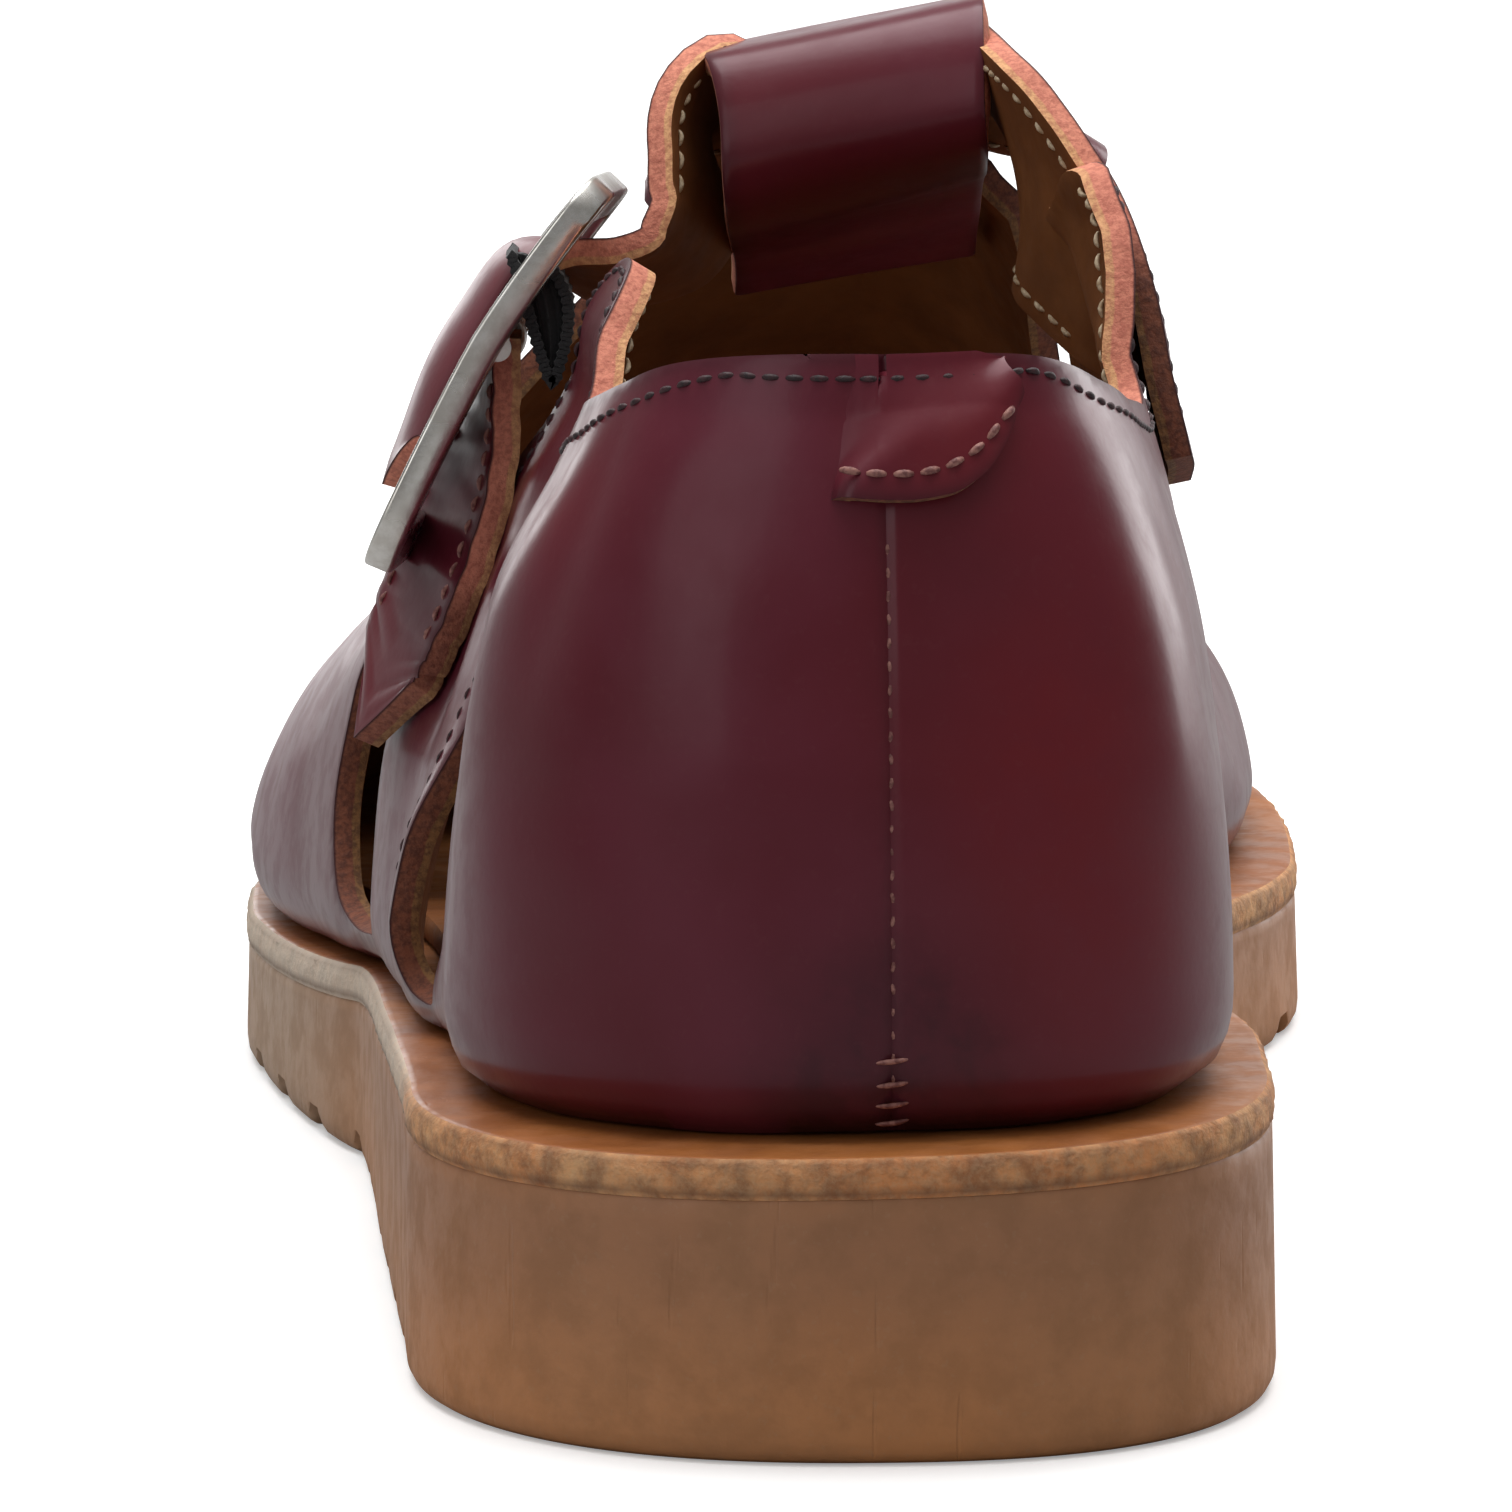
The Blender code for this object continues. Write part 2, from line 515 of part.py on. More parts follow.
def frame_point(p, q, lift=0.0):
    """Point of the bowed frame: p from -1 at the top bar to 1 at the lower bar, q across in millimetres."""
    a, m, b = (np.array(v) for v in (FRAME_TOP, FRAME_MID, FRAME_END))
    bow = m - (a + b) / 2
    spot = (a + b) / 2 + (b - a) / 2 * p + bow * (1 - p * p)
    slope = (b - a) / 2 - 2 * bow * p
    out = np.array([slope[1], -slope[0]]) / np.linalg.norm(slope)
    spot = spot + out * lift
    return (spot[0], FRAME_Y + q, spot[1])


half = FRAME_WIDTH / 2
length = math.dist(FRAME_TOP, FRAME_END) / 2
inner_p = 1 - BAR / length
loop_out, loop_in = [], []
CORNER = 5.0
for corner, (sp, sq) in enumerate(((-1, -1), (-1, 1), (1, 1), (1, -1))):
    for k in range(5):
        a = (k / 4) * math.pi / 2
        c, s = (math.sin(a), math.cos(a)) if corner % 2 == 0 else (math.cos(a), math.sin(a))
        cp, cq = sp * (1 - CORNER / length), sq * (half - CORNER)
        loop_out.append((cp + sp * CORNER / length * c, cq + sq * CORNER * s))
        r = CORNER - BAR
        loop_in.append((cp + sp * r / length * c, cq + sq * r * s))
STEPS = 5  # points added along each straight bar so that it follows the bow


def densify(loop):
    out = []
    for n, (p, q) in enumerate(loop):
        nxt = loop[(n + 1) % len(loop)]
        out.append((p, q))
        if n % 5 == 4:
            for k in range(1, STEPS):
                f = k / STEPS
                out.append((p + (nxt[0] - p) * f, q + (nxt[1] - q) * f))
    return out


bm = bmesh.new()
rings = []
for loop, lift in ((loop_out, -1), (loop_out, 1), (loop_in, 1), (loop_in, -1)):
    rings.append([bm.verts.new(frame_point(p, q, lift * BAR_DEPTH / 2)) for p, q in densify(loop)])
for a, b in zip(rings, rings[1:] + rings[:1]):
    n = len(a)
    for i in range(n):
        bm.faces.new((a[i], a[(i + 1) % n], b[(i + 1) % n], b[i]))
frame = place("buckle_frame", bm, STEEL, 30)
bar = bmesh.new()
bmesh.ops.create_cone(bar, cap_ends=True, segments=14, radius1=1.25, radius2=1.25, depth=FRAME_WIDTH - 3)
spin = np.array(frame_point(0, 0, 0))
for v in bar.verts:
    v.co = Vector((spin[0] + v.co.x, spin[1] + v.co.z, spin[2] + v.co.y))
cut(frame, cutter("centre_bar", bar), "UNION")

# Prong: hinged at the centre bar, through the strap, its tip on the top bar.
PRONG = [(-29.1, 86.2), (-27.2, 90.0), (-25.3, 94.4), (-23.6, 97.0), (-21.9, 98.9)]


def rod(points, radius, count=10, segments=8):
    """A round rod in the plane across the buckle."""
    bm = bmesh.new()
    rings = []
    pts = curve_through([(x, 0, z) for x, z in points], count)
    for i, (x, _, z) in enumerate(pts):
        along = pts[min(i + 1, count - 1)] - pts[max(i - 1, 0)]
        along /= np.linalg.norm(along)
        ring = []
        for k in range(segments):
            a = k * 2 * math.pi / segments
            ring.append(bm.verts.new((x + along[2] * radius * math.cos(a), FRAME_Y + radius * math.sin(a),
                                      z - along[0] * radius * math.cos(a))))
        rings.append(ring)
    for a, b in zip(rings, rings[1:]):
        for k in range(segments):
            bm.faces.new((a[k], a[(k + 1) % segments], b[(k + 1) % segments], b[k]))
    bm.faces.new(rings[0])
    bm.faces.new(rings[-1])
    return bm


place("prong", rod(PRONG, 0.95), STEEL)
cut(ankle, cutter("prong_hole", rod([(-30.4, 83.8), *PRONG[1:]], 1.5)))

# Elastic: a small loop between the quarter and the buckle, standing just behind the centre bar.
ELASTIC = [(-24.0, 80.2), (-25.2, 82.6), (-25.0, 85.2), (-23.4, 87.4), (-21.8, 86.0), (-22.2, 82.8)]
ring = curve_through([(x, 0, z) for x, z in ELASTIC + ELASTIC[:1]], 19)[:-1]
bm = bmesh.new()
sides = [[bm.verts.new((x, y, z)) for x, _, z in ring] for y in (91.5, 99.0)]
for k in range(len(ring)):
    n = (k + 1) % len(ring)
    bm.faces.new((sides[0][k], sides[0][n], sides[1][n], sides[1][k]))
thicken(place("elastic_loop", bm, BLACK), 1.0, 0.0)
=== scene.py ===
# %% [markdown]
# # A left fisherman sandal, dressed over its solids
# The sandal comes in as a fixed frame of plain solids. This lesson dresses it: every leather, rubber and
# metal piece is made again at full detail in the same place, and each new piece hides the solid it stands for.
# Sizes are in millimetres, measured as on a bench: +Y to the toe, +X to the inner side, floor at z = 0.

# %% Load the frame
import math

import bpy
import numpy as np
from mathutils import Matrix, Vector, kdtree


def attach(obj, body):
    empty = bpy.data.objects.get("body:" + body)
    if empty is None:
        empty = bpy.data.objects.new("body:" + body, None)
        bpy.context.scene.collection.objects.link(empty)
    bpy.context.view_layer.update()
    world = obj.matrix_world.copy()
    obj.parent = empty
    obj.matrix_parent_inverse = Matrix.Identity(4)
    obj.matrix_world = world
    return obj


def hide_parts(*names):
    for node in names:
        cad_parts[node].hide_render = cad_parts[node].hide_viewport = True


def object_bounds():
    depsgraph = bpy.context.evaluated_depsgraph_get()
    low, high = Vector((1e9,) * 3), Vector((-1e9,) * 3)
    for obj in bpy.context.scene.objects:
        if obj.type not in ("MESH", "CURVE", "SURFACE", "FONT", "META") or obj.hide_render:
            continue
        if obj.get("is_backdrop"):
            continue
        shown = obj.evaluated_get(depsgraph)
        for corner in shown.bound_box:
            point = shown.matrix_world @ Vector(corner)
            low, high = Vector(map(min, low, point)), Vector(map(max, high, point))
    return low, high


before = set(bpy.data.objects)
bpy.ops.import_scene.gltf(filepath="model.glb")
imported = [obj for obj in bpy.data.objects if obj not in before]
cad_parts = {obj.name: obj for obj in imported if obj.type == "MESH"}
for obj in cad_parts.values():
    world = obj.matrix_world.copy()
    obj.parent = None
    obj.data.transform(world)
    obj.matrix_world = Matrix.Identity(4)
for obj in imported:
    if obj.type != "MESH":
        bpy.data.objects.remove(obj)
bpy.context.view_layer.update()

bpy.ops.object.select_all(action="DESELECT")
print("solids:", sorted(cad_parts))

# %% [markdown]
# ## Measurements
# A shoe is built round a last, a solid foot shape. The upper is the surface of that last, so the last is kept
# as a short table of sections, and the sole as a table of its outline. The main numbers are those of the solids,
# so the dressed pieces lie on them; only lips, rims and folds depart by a few millimetres. A scan could give the
# same shape, but a table is short, and each of its numbers can be read and changed.

# %% Tables of the sole and the last
MM = 0.001
GAP, WALL, MIDSOLE, INSOLE = 0.3, 2.6, 3.2, 2.5  # space between layers, the upper's wall, two thicknesses
STRAP_THICK, TEE_THICK, CHAPE_THICK, TAB_THICK = 2.4, 2.2, 2.6, 1.3
CENTRE = np.array((-2.55, 151.0, 0.0))  # the bench point that lies at the frame's origin
TILT = 0.018  # rise of the seat for each millimetre towards the inner side
OUTER, INNER = -1, 1
RIDGE_X = 4.6  # where the last's two halves meet over the vamp
SOLE = [  # y, rim outer side, rim inner side, feather outer side, feather inner side
    (45, -37.0, 37.6, -29.6, 29.4), (60, -38.0, 37.8, -31.0, 29.7), (72, -38.8, 37.2, -32.4, 29.0),
    (80, -39.3, 36.4, -34.4, 28.4), (100, -40.6, 34.0, -36.2, 26.4), (125, -42.0, 31.9, -38.2, 24.8),
    (146, -43.8, 32.2, -40.4, 25.0), (152, -45.9, 33.0, -41.8, 25.4), (170, -50.6, 36.8, -45.6, 28.2),
    (190, -54.4, 43.0, -49.6, 33.8), (205, -56.4, 48.0, -51.4, 38.2), (220, -56.8, 51.0, -51.8, 41.6),
    (235, -55.4, 51.7, -50.4, 43.6)]
HEEL_CAP = {"rim": (45, 2.0, 3.0), "feather": (45, 13.0, 4.2), "round": 2.35}
TOE_CAP = {"rim": (235, 300.0, 6.0), "feather": (235, 292.5, 7.0), "round": 2.15}
WEDGE = [  # y, top of the rubber, bottom of the rubber
    (0, 22.2, 0), (50, 22.0, 0), (75, 21.1, 0), (100, 19.6, 0), (125, 17.7, 0), (148, 15.7, 0),
    (170, 14.1, 0), (190, 13.0, 0), (215, 12.3, 0), (236, 12.3, 0), (260, 13.6, 1.6), (280, 15.8, 3.9),
    (300, 18.6, 6.8)]
LAST = [  # u, ridge x, y, z, roundness outer and inner, swell outer and inner, top of the swell
    (0.00, 3.2, 27, 104, 2.6, 2.6, 4.4, 4.4, 0.76), (0.07, 2.8, 34, 104, 2.6, 2.6, 4.2, 4.5, 0.76),
    (0.14, 3.0, 48, 106, 2.4, 2.5, 3.8, 4.5, 0.80), (0.22, 4.0, 73, 113, 1.45, 2.3, 3.6, 4.2, 0.90),
    (0.31, 6.0, 104, 111.0, 1.5, 3.2, 3.8, 3.8, 1.00), (0.385, 8.0, 128, 101.5, 2.4, 3.8, 3.8, 3.8, 1.00),
    (0.46, 6.5, 151, 92.5, 2.3, 3.0, 4.4, 4.0, 1.00), (0.53, 5.0, 172, 78, 2.1, 2.5, 4.6, 4.0, 1.00),
    (0.60, 4.5, 193, 66.5, 2.1, 2.3, 4.9, 4.0, 1.00), (0.68, 4.5, 216, 58.5, 2.15, 2.3, 4.9, 4.0, 1.00),
    (0.76, 5.0, 238, 52.5, 2.4, 2.4, 5.0, 4.0, 1.00), (0.87, 6.0, 259, 48.0, 2.5, 2.5, 4.2, 4.0, 1.00),
    (1.00, 7.0, 273, 46.6, 2.6, 2.6, 3.6, 3.6, 1.00)]

# %% Tables of the openings
COLLAR = {OUTER: [  # (y, z) in the side view, from the heel to the throat
    (-20, 90.5), (0, 90.5), (13, 90.5), (22, 89.6), (32, 86.6), (42, 84.0), (50, 82.3), (56, 80.7), (60.5, 80.6),
    (64, 83.2), (67.5, 87.0), (71, 90.2), (75, 92.3), (79, 92.6), (83, 91.4), (92, 86.6), (100, 76), (106.4, 62),
    (112.4, 48), (117.6, 36), (122, 26.5), (128, 24.6), (143, 23.2), (149, 25.5), (153, 34), (152, 43), (149.5, 52),
    (148.5, 60), (149, 68), (150, 76), (149, 84), (144, 91), (137, 97), (130, 103), (126, 112)], INNER: [
    (-20, 90.5), (0, 90.5), (13, 90.5), (22, 89.6), (32, 86.6), (42, 84.0), (52, 82.4), (57, 81.7), (61, 82.8),
    (64, 86.2), (66.6, 90.6), (70, 95.4), (75, 99.4), (80, 100.6), (84, 99.4), (88, 96.8), (94, 95.2), (102, 94.6),
    (108, 94.2), (112.5, 93), (116, 89), (117.4, 80), (117.6, 68), (118, 56), (118.4, 45), (119.6, 34), (123, 26.5),
    (133, 24.4), (145, 24.4), (150.5, 29), (151.6, 40), (149.8, 52), (149.2, 62), (147.4, 71), (142, 79), (135, 86),
    (129.5, 93), (126.6, 101), (126, 112)]}
# The inner quarter's lining runs on up inside the ankle strap, so the collar line climbs higher on that side.
SLIT = [  # (y, z) of the upright slit in each quarter
        (69.8, 28.4), (68.2, 36), (69, 44), (71.2, 50.6), (73.4, 52.8), (75.4, 51), (77, 44), (78.2, 36),
        (78.4, 28.6), (74.2, 27.0)]
SLOTS = [  # (x, y) in plan of the slots across the vamp
    ((-10, 170.5), (-16, 170.2), (-26, 171.6), (-34, 175), (-37, 180), (-33, 183.6), (-24, 182), (-16, 180.6),
     (-10, 180.5), (-7.6, 175.5)),
    ((-9, 196), (-16, 196), (-27, 198), (-36, 202), (-39, 207), (-35, 210.4), (-26, 208.6), (-16, 206.8),
     (-9, 206.4), (-6.6, 201)),
    ((20, 170.5), (25, 170.4), (29, 172.2), (30.6, 175.8), (29, 179.6), (25, 180.6), (20, 180.4), (17.8, 175.5)),
    ((18, 196), (26, 196.4), (33, 199), (35.6, 203.2), (33.4, 207.4), (27, 207.4), (18, 206.4), (15.8, 201))]
print("tables:", len(LAST), "sections,", len(SLOTS), "slots")

# %% [markdown]
# ## Curves and the last
# Two kinds of curve do all the work: a cubic through a table, for widths and heights along the shoe, and an even
# walk along a smooth line, for straps and seams. They take whole arrays, so a fine mesh costs little time.

# %% Curves
def smooth(rows, column, at):
    """One column of a table at any stations, by a cubic that never overshoots."""
    xs, ys = np.array([r[0] for r in rows], float), np.array([r[column] for r in rows], float)
    run = np.diff(ys) / np.diff(xs)
    inside = np.where(run[:-1] * run[1:] <= 0, 0, 2 * run[:-1] * run[1:] / np.where(
        run[:-1] + run[1:] == 0, 1, run[:-1] + run[1:]))
    slope = np.r_[run[0], inside, run[-1]]
    at = np.clip(np.asarray(at, float), xs[0], xs[-1])
    i = np.clip(np.searchsorted(xs, at) - 1, 0, len(xs) - 2)
    h = xs[i + 1] - xs[i]
    t = (at - xs[i]) / h
    return ((2 * t**3 - 3 * t**2 + 1) * ys[i] + (t**3 - 2 * t**2 + t) * h * slope[i]
            + (3 * t**2 - 2 * t**3) * ys[i + 1] + (t**3 - t**2) * h * slope[i + 1])


def curve_through(points, count):
    """Evenly spaced points on a Catmull-Rom curve through points of any dimension."""
    p = np.array(points, float)
    p = np.vstack([2 * p[0] - p[1], p, 2 * p[-1] - p[-2]])
    t = np.linspace(0, 1, 24, endpoint=False)[:, None]
    dense = np.vstack([0.5 * (2 * p[i] + (p[i + 1] - p[i - 1]) * t
                              + (2 * p[i - 1] - 5 * p[i] + 4 * p[i + 1] - p[i + 2]) * t**2
                              + (3 * p[i] - p[i - 1] - 3 * p[i + 1] + p[i + 2]) * t**3)
                       for i in range(1, len(p) - 2)] + [p[-2]])
    run = np.r_[0, np.cumsum(np.linalg.norm(np.diff(dense[:, :3], axis=0), axis=1))]
    at = np.linspace(0, run[-1], count) if isinstance(count, int) else np.asarray(count) * run[-1]
    return np.stack([np.interp(at, run, dense[:, k]) for k in range(dense.shape[1])], axis=1)


def closed(outline, count):
    """A closed outline drawn as one smooth curve through its points."""
    n = len(outline)
    ring = curve_through([(a, b, 0) for a, b in [outline[k % n] for k in range(-3, n + 4)]], 60 * (n + 7))
    start = np.array(outline[0])
    first = int(np.argmin(np.linalg.norm(ring[:60 * 5, :2] - start, axis=1)))
    final = len(ring) - 1 - int(np.argmin(np.linalg.norm(ring[::-1][:60 * 5, :2] - start, axis=1)))
    return ring[np.linspace(first, final, count, endpoint=False).round().astype(int), :2]


# %% The sole's outline and the last's surface
def side_x(y, line, side):
    """x of the rim or the feather line, with the round caps at heel and toe."""
    column = {("rim", -1): 1, ("rim", 1): 2, ("feather", -1): 3, ("feather", 1): 4}[(line, side)]
    y = np.asarray(y, float)
    x = smooth(SOLE, column, y)
    for cap, row in ((HEEL_CAP, SOLE[0]), (TOE_CAP, SOLE[-1])):
        start, tip, tip_x = cap[line]
        share = np.clip((y - start) / (tip - start), 0, 1)
        middle = (row[column] + row[column - side]) / 2
        capped = (middle + (tip_x - middle) * share**1.5
                  + side * abs(row[column] - middle) * (1 - share**cap["round"])**(1 / cap["round"]))
        x = np.where(share > 0, capped, x)
    return x


def stations(line, heel, mid, toe):
    """y of the sections, closer together where the caps close."""
    start, tip, _ = HEEL_CAP[line]
    toe_start, toe_tip, _ = TOE_CAP[line]
    return np.r_[start - (start - tip) * np.cos(np.arange(heel) * math.pi / 2 / heel),
                 np.linspace(start, toe_start, mid, endpoint=False),
                 toe_start + (toe_tip - toe_start) * np.sin(np.arange(toe + 1) * math.pi / 2 / toe)]


def rubber_top(x, y):
    return smooth(WEDGE, 1, y) + TILT * x


def rubber_floor(x, y):
    return smooth(WEDGE, 2, y)


def seat(x, y):
    """Height of the surface that the upper stands on."""
    return rubber_top(x, y) + GAP + MIDSOLE + GAP


FEATHER, RUN = {}, {}
for side in (OUTER, INNER):
    ys = stations("feather", 40, 80, 40)
    FEATHER[side] = np.stack([side_x(ys, "feather", side), ys], axis=1)
    RUN[side] = np.r_[0, np.cumsum(np.linalg.norm(np.diff(FEATHER[side], axis=0), axis=1))]


def feather(u, side):
    """Points of the feather line at the shares u of its length, and the outward directions there."""
    curve, run = FEATHER[side], RUN[side]

    def at(share):
        s = np.clip(share, 0, 1) * run[-1]
        return np.stack([np.interp(s, run, curve[:, 0]), np.interp(s, run, curve[:, 1])], axis=-1)

    along = at(u + 0.012) - at(u - 0.012)
    along[..., 1] *= np.where(u < 0.012, u / 0.012, np.where(u > 0.988, (1 - u) / 0.012, 1))
    out = np.stack([along[..., 1], -along[..., 0]], axis=-1) * side
    return at(u), out / np.linalg.norm(out, axis=-1, keepdims=True)


def last(u, side, t):
    """Points of the last: t = 0 at the feather line, 1 on the ridge over the foot."""
    u, t = np.broadcast_arrays(np.asarray(u, float), np.asarray(t, float))
    row = [smooth(LAST, k, u) for k in range(1, 9)]
    roundness, swell = (row[3], row[5]) if side < 0 else (row[4], row[6])
    foot, out = feather(u, side)
    low = seat(foot[..., 0], foot[..., 1])
    angle = t * math.pi / 2
    rise = np.sin(angle)**(2 / roundness)
    lean = np.maximum(np.cos(angle), 0)**(2 / roundness)
    height = (row[2] - low) * rise
    bulge = np.sqrt(1 - (1 - np.minimum(1, height / 7.5))**2) * np.maximum(0, 1 - (rise / row[7])**3)
    ridge = np.stack(row[0:2], axis=-1)
    plan = ridge + (foot - ridge) * lean[..., None] + out * (swell * bulge)[..., None]
    return np.concatenate([plan, (low + height)[..., None]], axis=-1)


def outward(u, side, t):
    """Outward direction of the last."""
    e = 0.004
    along = last(np.clip(u + e, 0, 1), side, t) - last(np.clip(u - e, 0, 1), side, t)
    up = last(u, side, np.clip(t + e, 0, 1)) - last(u, side, np.clip(t - e, 0.0005, 1))
    n = np.cross(along, up) * side
    return n / np.maximum(np.linalg.norm(n, axis=-1, keepdims=True), 1e-9)


def at_height(u, side, z):
    """The t at which the last reaches a height."""
    foot, _ = feather(np.asarray(u, float), side)
    low = seat(foot[..., 0], foot[..., 1])
    share = np.clip((z - low) / (smooth(LAST, 3, u) - low), 0, 1)
    return np.arcsin(share**(smooth(LAST, 4 if side < 0 else 5, u) / 2)) / (math.pi / 2)


def off_last(u, side, z, gap):
    """Points standing off the last by a gap, at a height."""
    u = np.asarray(u, float)
    t = at_height(u, side, z)
    return last(u, side, t) + outward(np.maximum(u, 0.0005), side, t) * np.asarray(gap)[..., None]


LOOK_U, LOOK_T = (m.ravel() for m in np.meshgrid(np.linspace(0.001, 0.999, 150), np.linspace(0.02, 0.995, 70)))
LOOK = {side: last(LOOK_U, side, LOOK_T) for side in (OUTER, INNER)}


def land(side, axes, targets, start=None):
    """u and t where the last passes through a pair of coordinates, such as (y, z), one row per target."""
    targets = np.asarray(targets, float)
    if start is None:
        near = [int(np.argmin(((LOOK[side][:, axes] - p)**2).sum(axis=1))) for p in targets]
        u, t = LOOK_U[near], LOOK_T[near]
    else:
        u, t = (np.array(v, float) for v in start)
    for _ in range(12):
        here = last(u, side, t)[:, axes]
        du = (last(u + 5e-4, side, t)[:, axes] - last(u - 5e-4, side, t)[:, axes]) / 1e-3
        dt = (last(u, side, t + 5e-4)[:, axes] - last(u, side, t - 5e-4)[:, axes]) / 1e-3
        j = np.stack([du, dt], axis=-1)
        miss = (targets - here)[..., None]
        jt = np.swapaxes(j, -1, -2)
        move = np.linalg.solve(jt @ j + np.eye(2) * 2.0, jt @ miss)[..., 0]
        u = np.clip(u + np.clip(move[:, 0], -0.03, 0.03), 0.0006, 0.9994)
        t = np.clip(t + np.clip(move[:, 1], -0.05, 0.05), 0.001, 0.9994)
    return u, t


def ease(value, start, stop):
    """0 before start, 1 after stop, with a soft change between them."""
    t = np.clip((np.asarray(value, float) - start) / (stop - start), 0, 1)
    return t * t * (3 - 2 * t)


print("last: length of the feather line", *(round(float(RUN[side][-1]), 1) for side in (OUTER, INNER)), "mm")

# %% [markdown]
# ## Leather, rubber and metal
# The upper is burgundy calf, waxed and rubbed until it is cloudy, over tan lining; brown rubber lies below, and
# the buckle is nickel. Such finishes could be painted as images, but then every piece would have to be unfolded
# flat. Noise that is read from the Object coordinates needs no unfolding and stays sharp close by.
# Polished leather is dark where wax and dirt gather and redder where it has been rubbed. Each finish below is a
# Principled shader fed by small node groups: grain, patina and cut edge. A group is built once and placed in
# every material that needs it, with its own sizes, so the whole sandal ages in the same way.

# %% Node group helpers
def new_group(name, inputs, outputs):
    """An empty shader group with its sockets."""
    group = bpy.data.node_groups.new(name, "ShaderNodeTree")
    for label, kind, value in inputs:
        socket = group.interface.new_socket(label, in_out="INPUT", socket_type=kind)
        if value is not None:
            socket.default_value = value
    for label, kind in outputs:
        group.interface.new_socket(label, in_out="OUTPUT", socket_type=kind)
    return group, group.nodes.new("NodeGroupInput"), group.nodes.new("NodeGroupOutput")


def node(tree, kind, links=(), **values):
    """A node with its settings, and its inputs set or linked by name or number."""
    made = tree.nodes.new(kind)
    for key, value in values.items():
        setattr(made, key, value)
    for socket, value in dict(links).items():
        if isinstance(value, bpy.types.NodeSocket):
            tree.links.new(value, made.inputs[socket])
        else:
            made.inputs[socket].default_value = value
    return made


def noise(tree, vector, scale, detail=3.0, roughness=0.5, distortion=0.0):
    return node(tree, "ShaderNodeTexNoise", {"Vector": vector, "Scale": scale, "Detail": detail,
                                             "Roughness": roughness, "Distortion": distortion}).outputs["Fac"]


def ramp(tree, fac, low, high, to_low=0.0, to_high=1.0):
    """A value moved from one range to another, with soft ends."""
    return node(tree, "ShaderNodeMapRange", {0: fac, 1: low, 2: high, 3: to_low, 4: to_high},
                interpolation_type="SMOOTHSTEP").outputs[0]


def blend(tree, fac, a, b):
    """Colour a where the mask is 0 and colour b where it is 1."""
    made = node(tree, "ShaderNodeMix", data_type="RGBA")
    for socket, value in ((0, fac), (6, a), (7, b)):
        if isinstance(value, bpy.types.NodeSocket):
            tree.links.new(value, made.inputs[socket])
        else:
            made.inputs[socket].default_value = value if socket == 0 else (*value, 1)
    return made.outputs[2]


def maths(tree, operation, a, b):
    return node(tree, "ShaderNodeMath", {0: a, 1: b}, operation=operation).outputs[0]


VECTOR, FLOAT = "NodeSocketVector", "NodeSocketFloat"

# %% Grain: fine pores, soft pull-up creases and a few hair scratches
GRAIN, grain_in, grain_out = new_group("leather grain", [
    ("Vector", VECTOR, None), ("Pore size", FLOAT, 1500.0), ("Scratches", FLOAT, 0.5)],
    [("Height", FLOAT), ("Rubbed", FLOAT)])
pores = node(GRAIN, "ShaderNodeTexVoronoi", {"Vector": grain_in.outputs[0], "Scale": grain_in.outputs[1]},
             feature="SMOOTH_F1").outputs["Distance"]
broad = noise(GRAIN, grain_in.outputs[0], 240.0, 4.0, 0.6)
stretched = node(GRAIN, "ShaderNodeMapping", {"Vector": grain_in.outputs[0], "Rotation": (0.9, 0.5, 0.3),
                                              "Scale": (700, 260, 60)}).outputs[0]
hair = ramp(GRAIN, noise(GRAIN, stretched, 1.0, 2.0, 0.6), 0.66, 0.76)
hair = maths(GRAIN, "MULTIPLY", hair, grain_in.outputs[2])
fine = maths(GRAIN, "MULTIPLY", pores, 0.45)
height = maths(GRAIN, "SUBTRACT", maths(GRAIN, "ADD", fine, maths(GRAIN, "MULTIPLY", broad, 1.1)), hair)
GRAIN.links.new(height, grain_out.inputs[0])
GRAIN.links.new(ramp(GRAIN, broad, 0.35, 0.7), grain_out.inputs[1])

# %% Patina: broad cloudy tone from three sizes of noise
PATINA, patina_in, patina_out = new_group("patina", [("Vector", VECTOR, None), ("Scale", FLOAT, 30.0)],
                                          [("Cloud", FLOAT), ("Mottle", FLOAT), ("Speck", FLOAT)])
for number, (finer, low, high, *look) in enumerate((
        (1.0, 0.30, 0.70, 3.0, 0.55, 0.4), (6.0, 0.35, 0.68, 4.0, 0.6), (40.0, 0.60, 0.72, 2.0))):
    size = maths(PATINA, "MULTIPLY", patina_in.outputs[1], finer)
    PATINA.links.new(ramp(PATINA, noise(PATINA, patina_in.outputs[0], size, *look), low, high),
                     patina_out.inputs[number])

# %% Cut edge: fibres and layers across the thickness
EDGE, edge_in, edge_out = new_group("cut edge", [("Vector", VECTOR, None), ("Depth", FLOAT, 0.5)],
                                    [("Layer", FLOAT), ("Fibre", FLOAT), ("Height", FLOAT)])
fibre = noise(EDGE, edge_in.outputs[0], 1500.0, 3.0, 0.7)
lumps = noise(EDGE, edge_in.outputs[0], 420.0, 3.0, 0.6)
wavy = maths(EDGE, "ADD", edge_in.outputs[1], maths(EDGE, "MULTIPLY", maths(EDGE, "SUBTRACT", lumps, 0.5), 0.22))
EDGE.links.new(ramp(EDGE, wavy, 0.66, 0.74), edge_out.inputs[0])
EDGE.links.new(ramp(EDGE, fibre, 0.36, 0.66), edge_out.inputs[1])
EDGE.links.new(maths(EDGE, "ADD", maths(EDGE, "MULTIPLY", fibre, 0.5), lumps), edge_out.inputs[2])
print("node groups:", [g.name for g in bpy.data.node_groups])


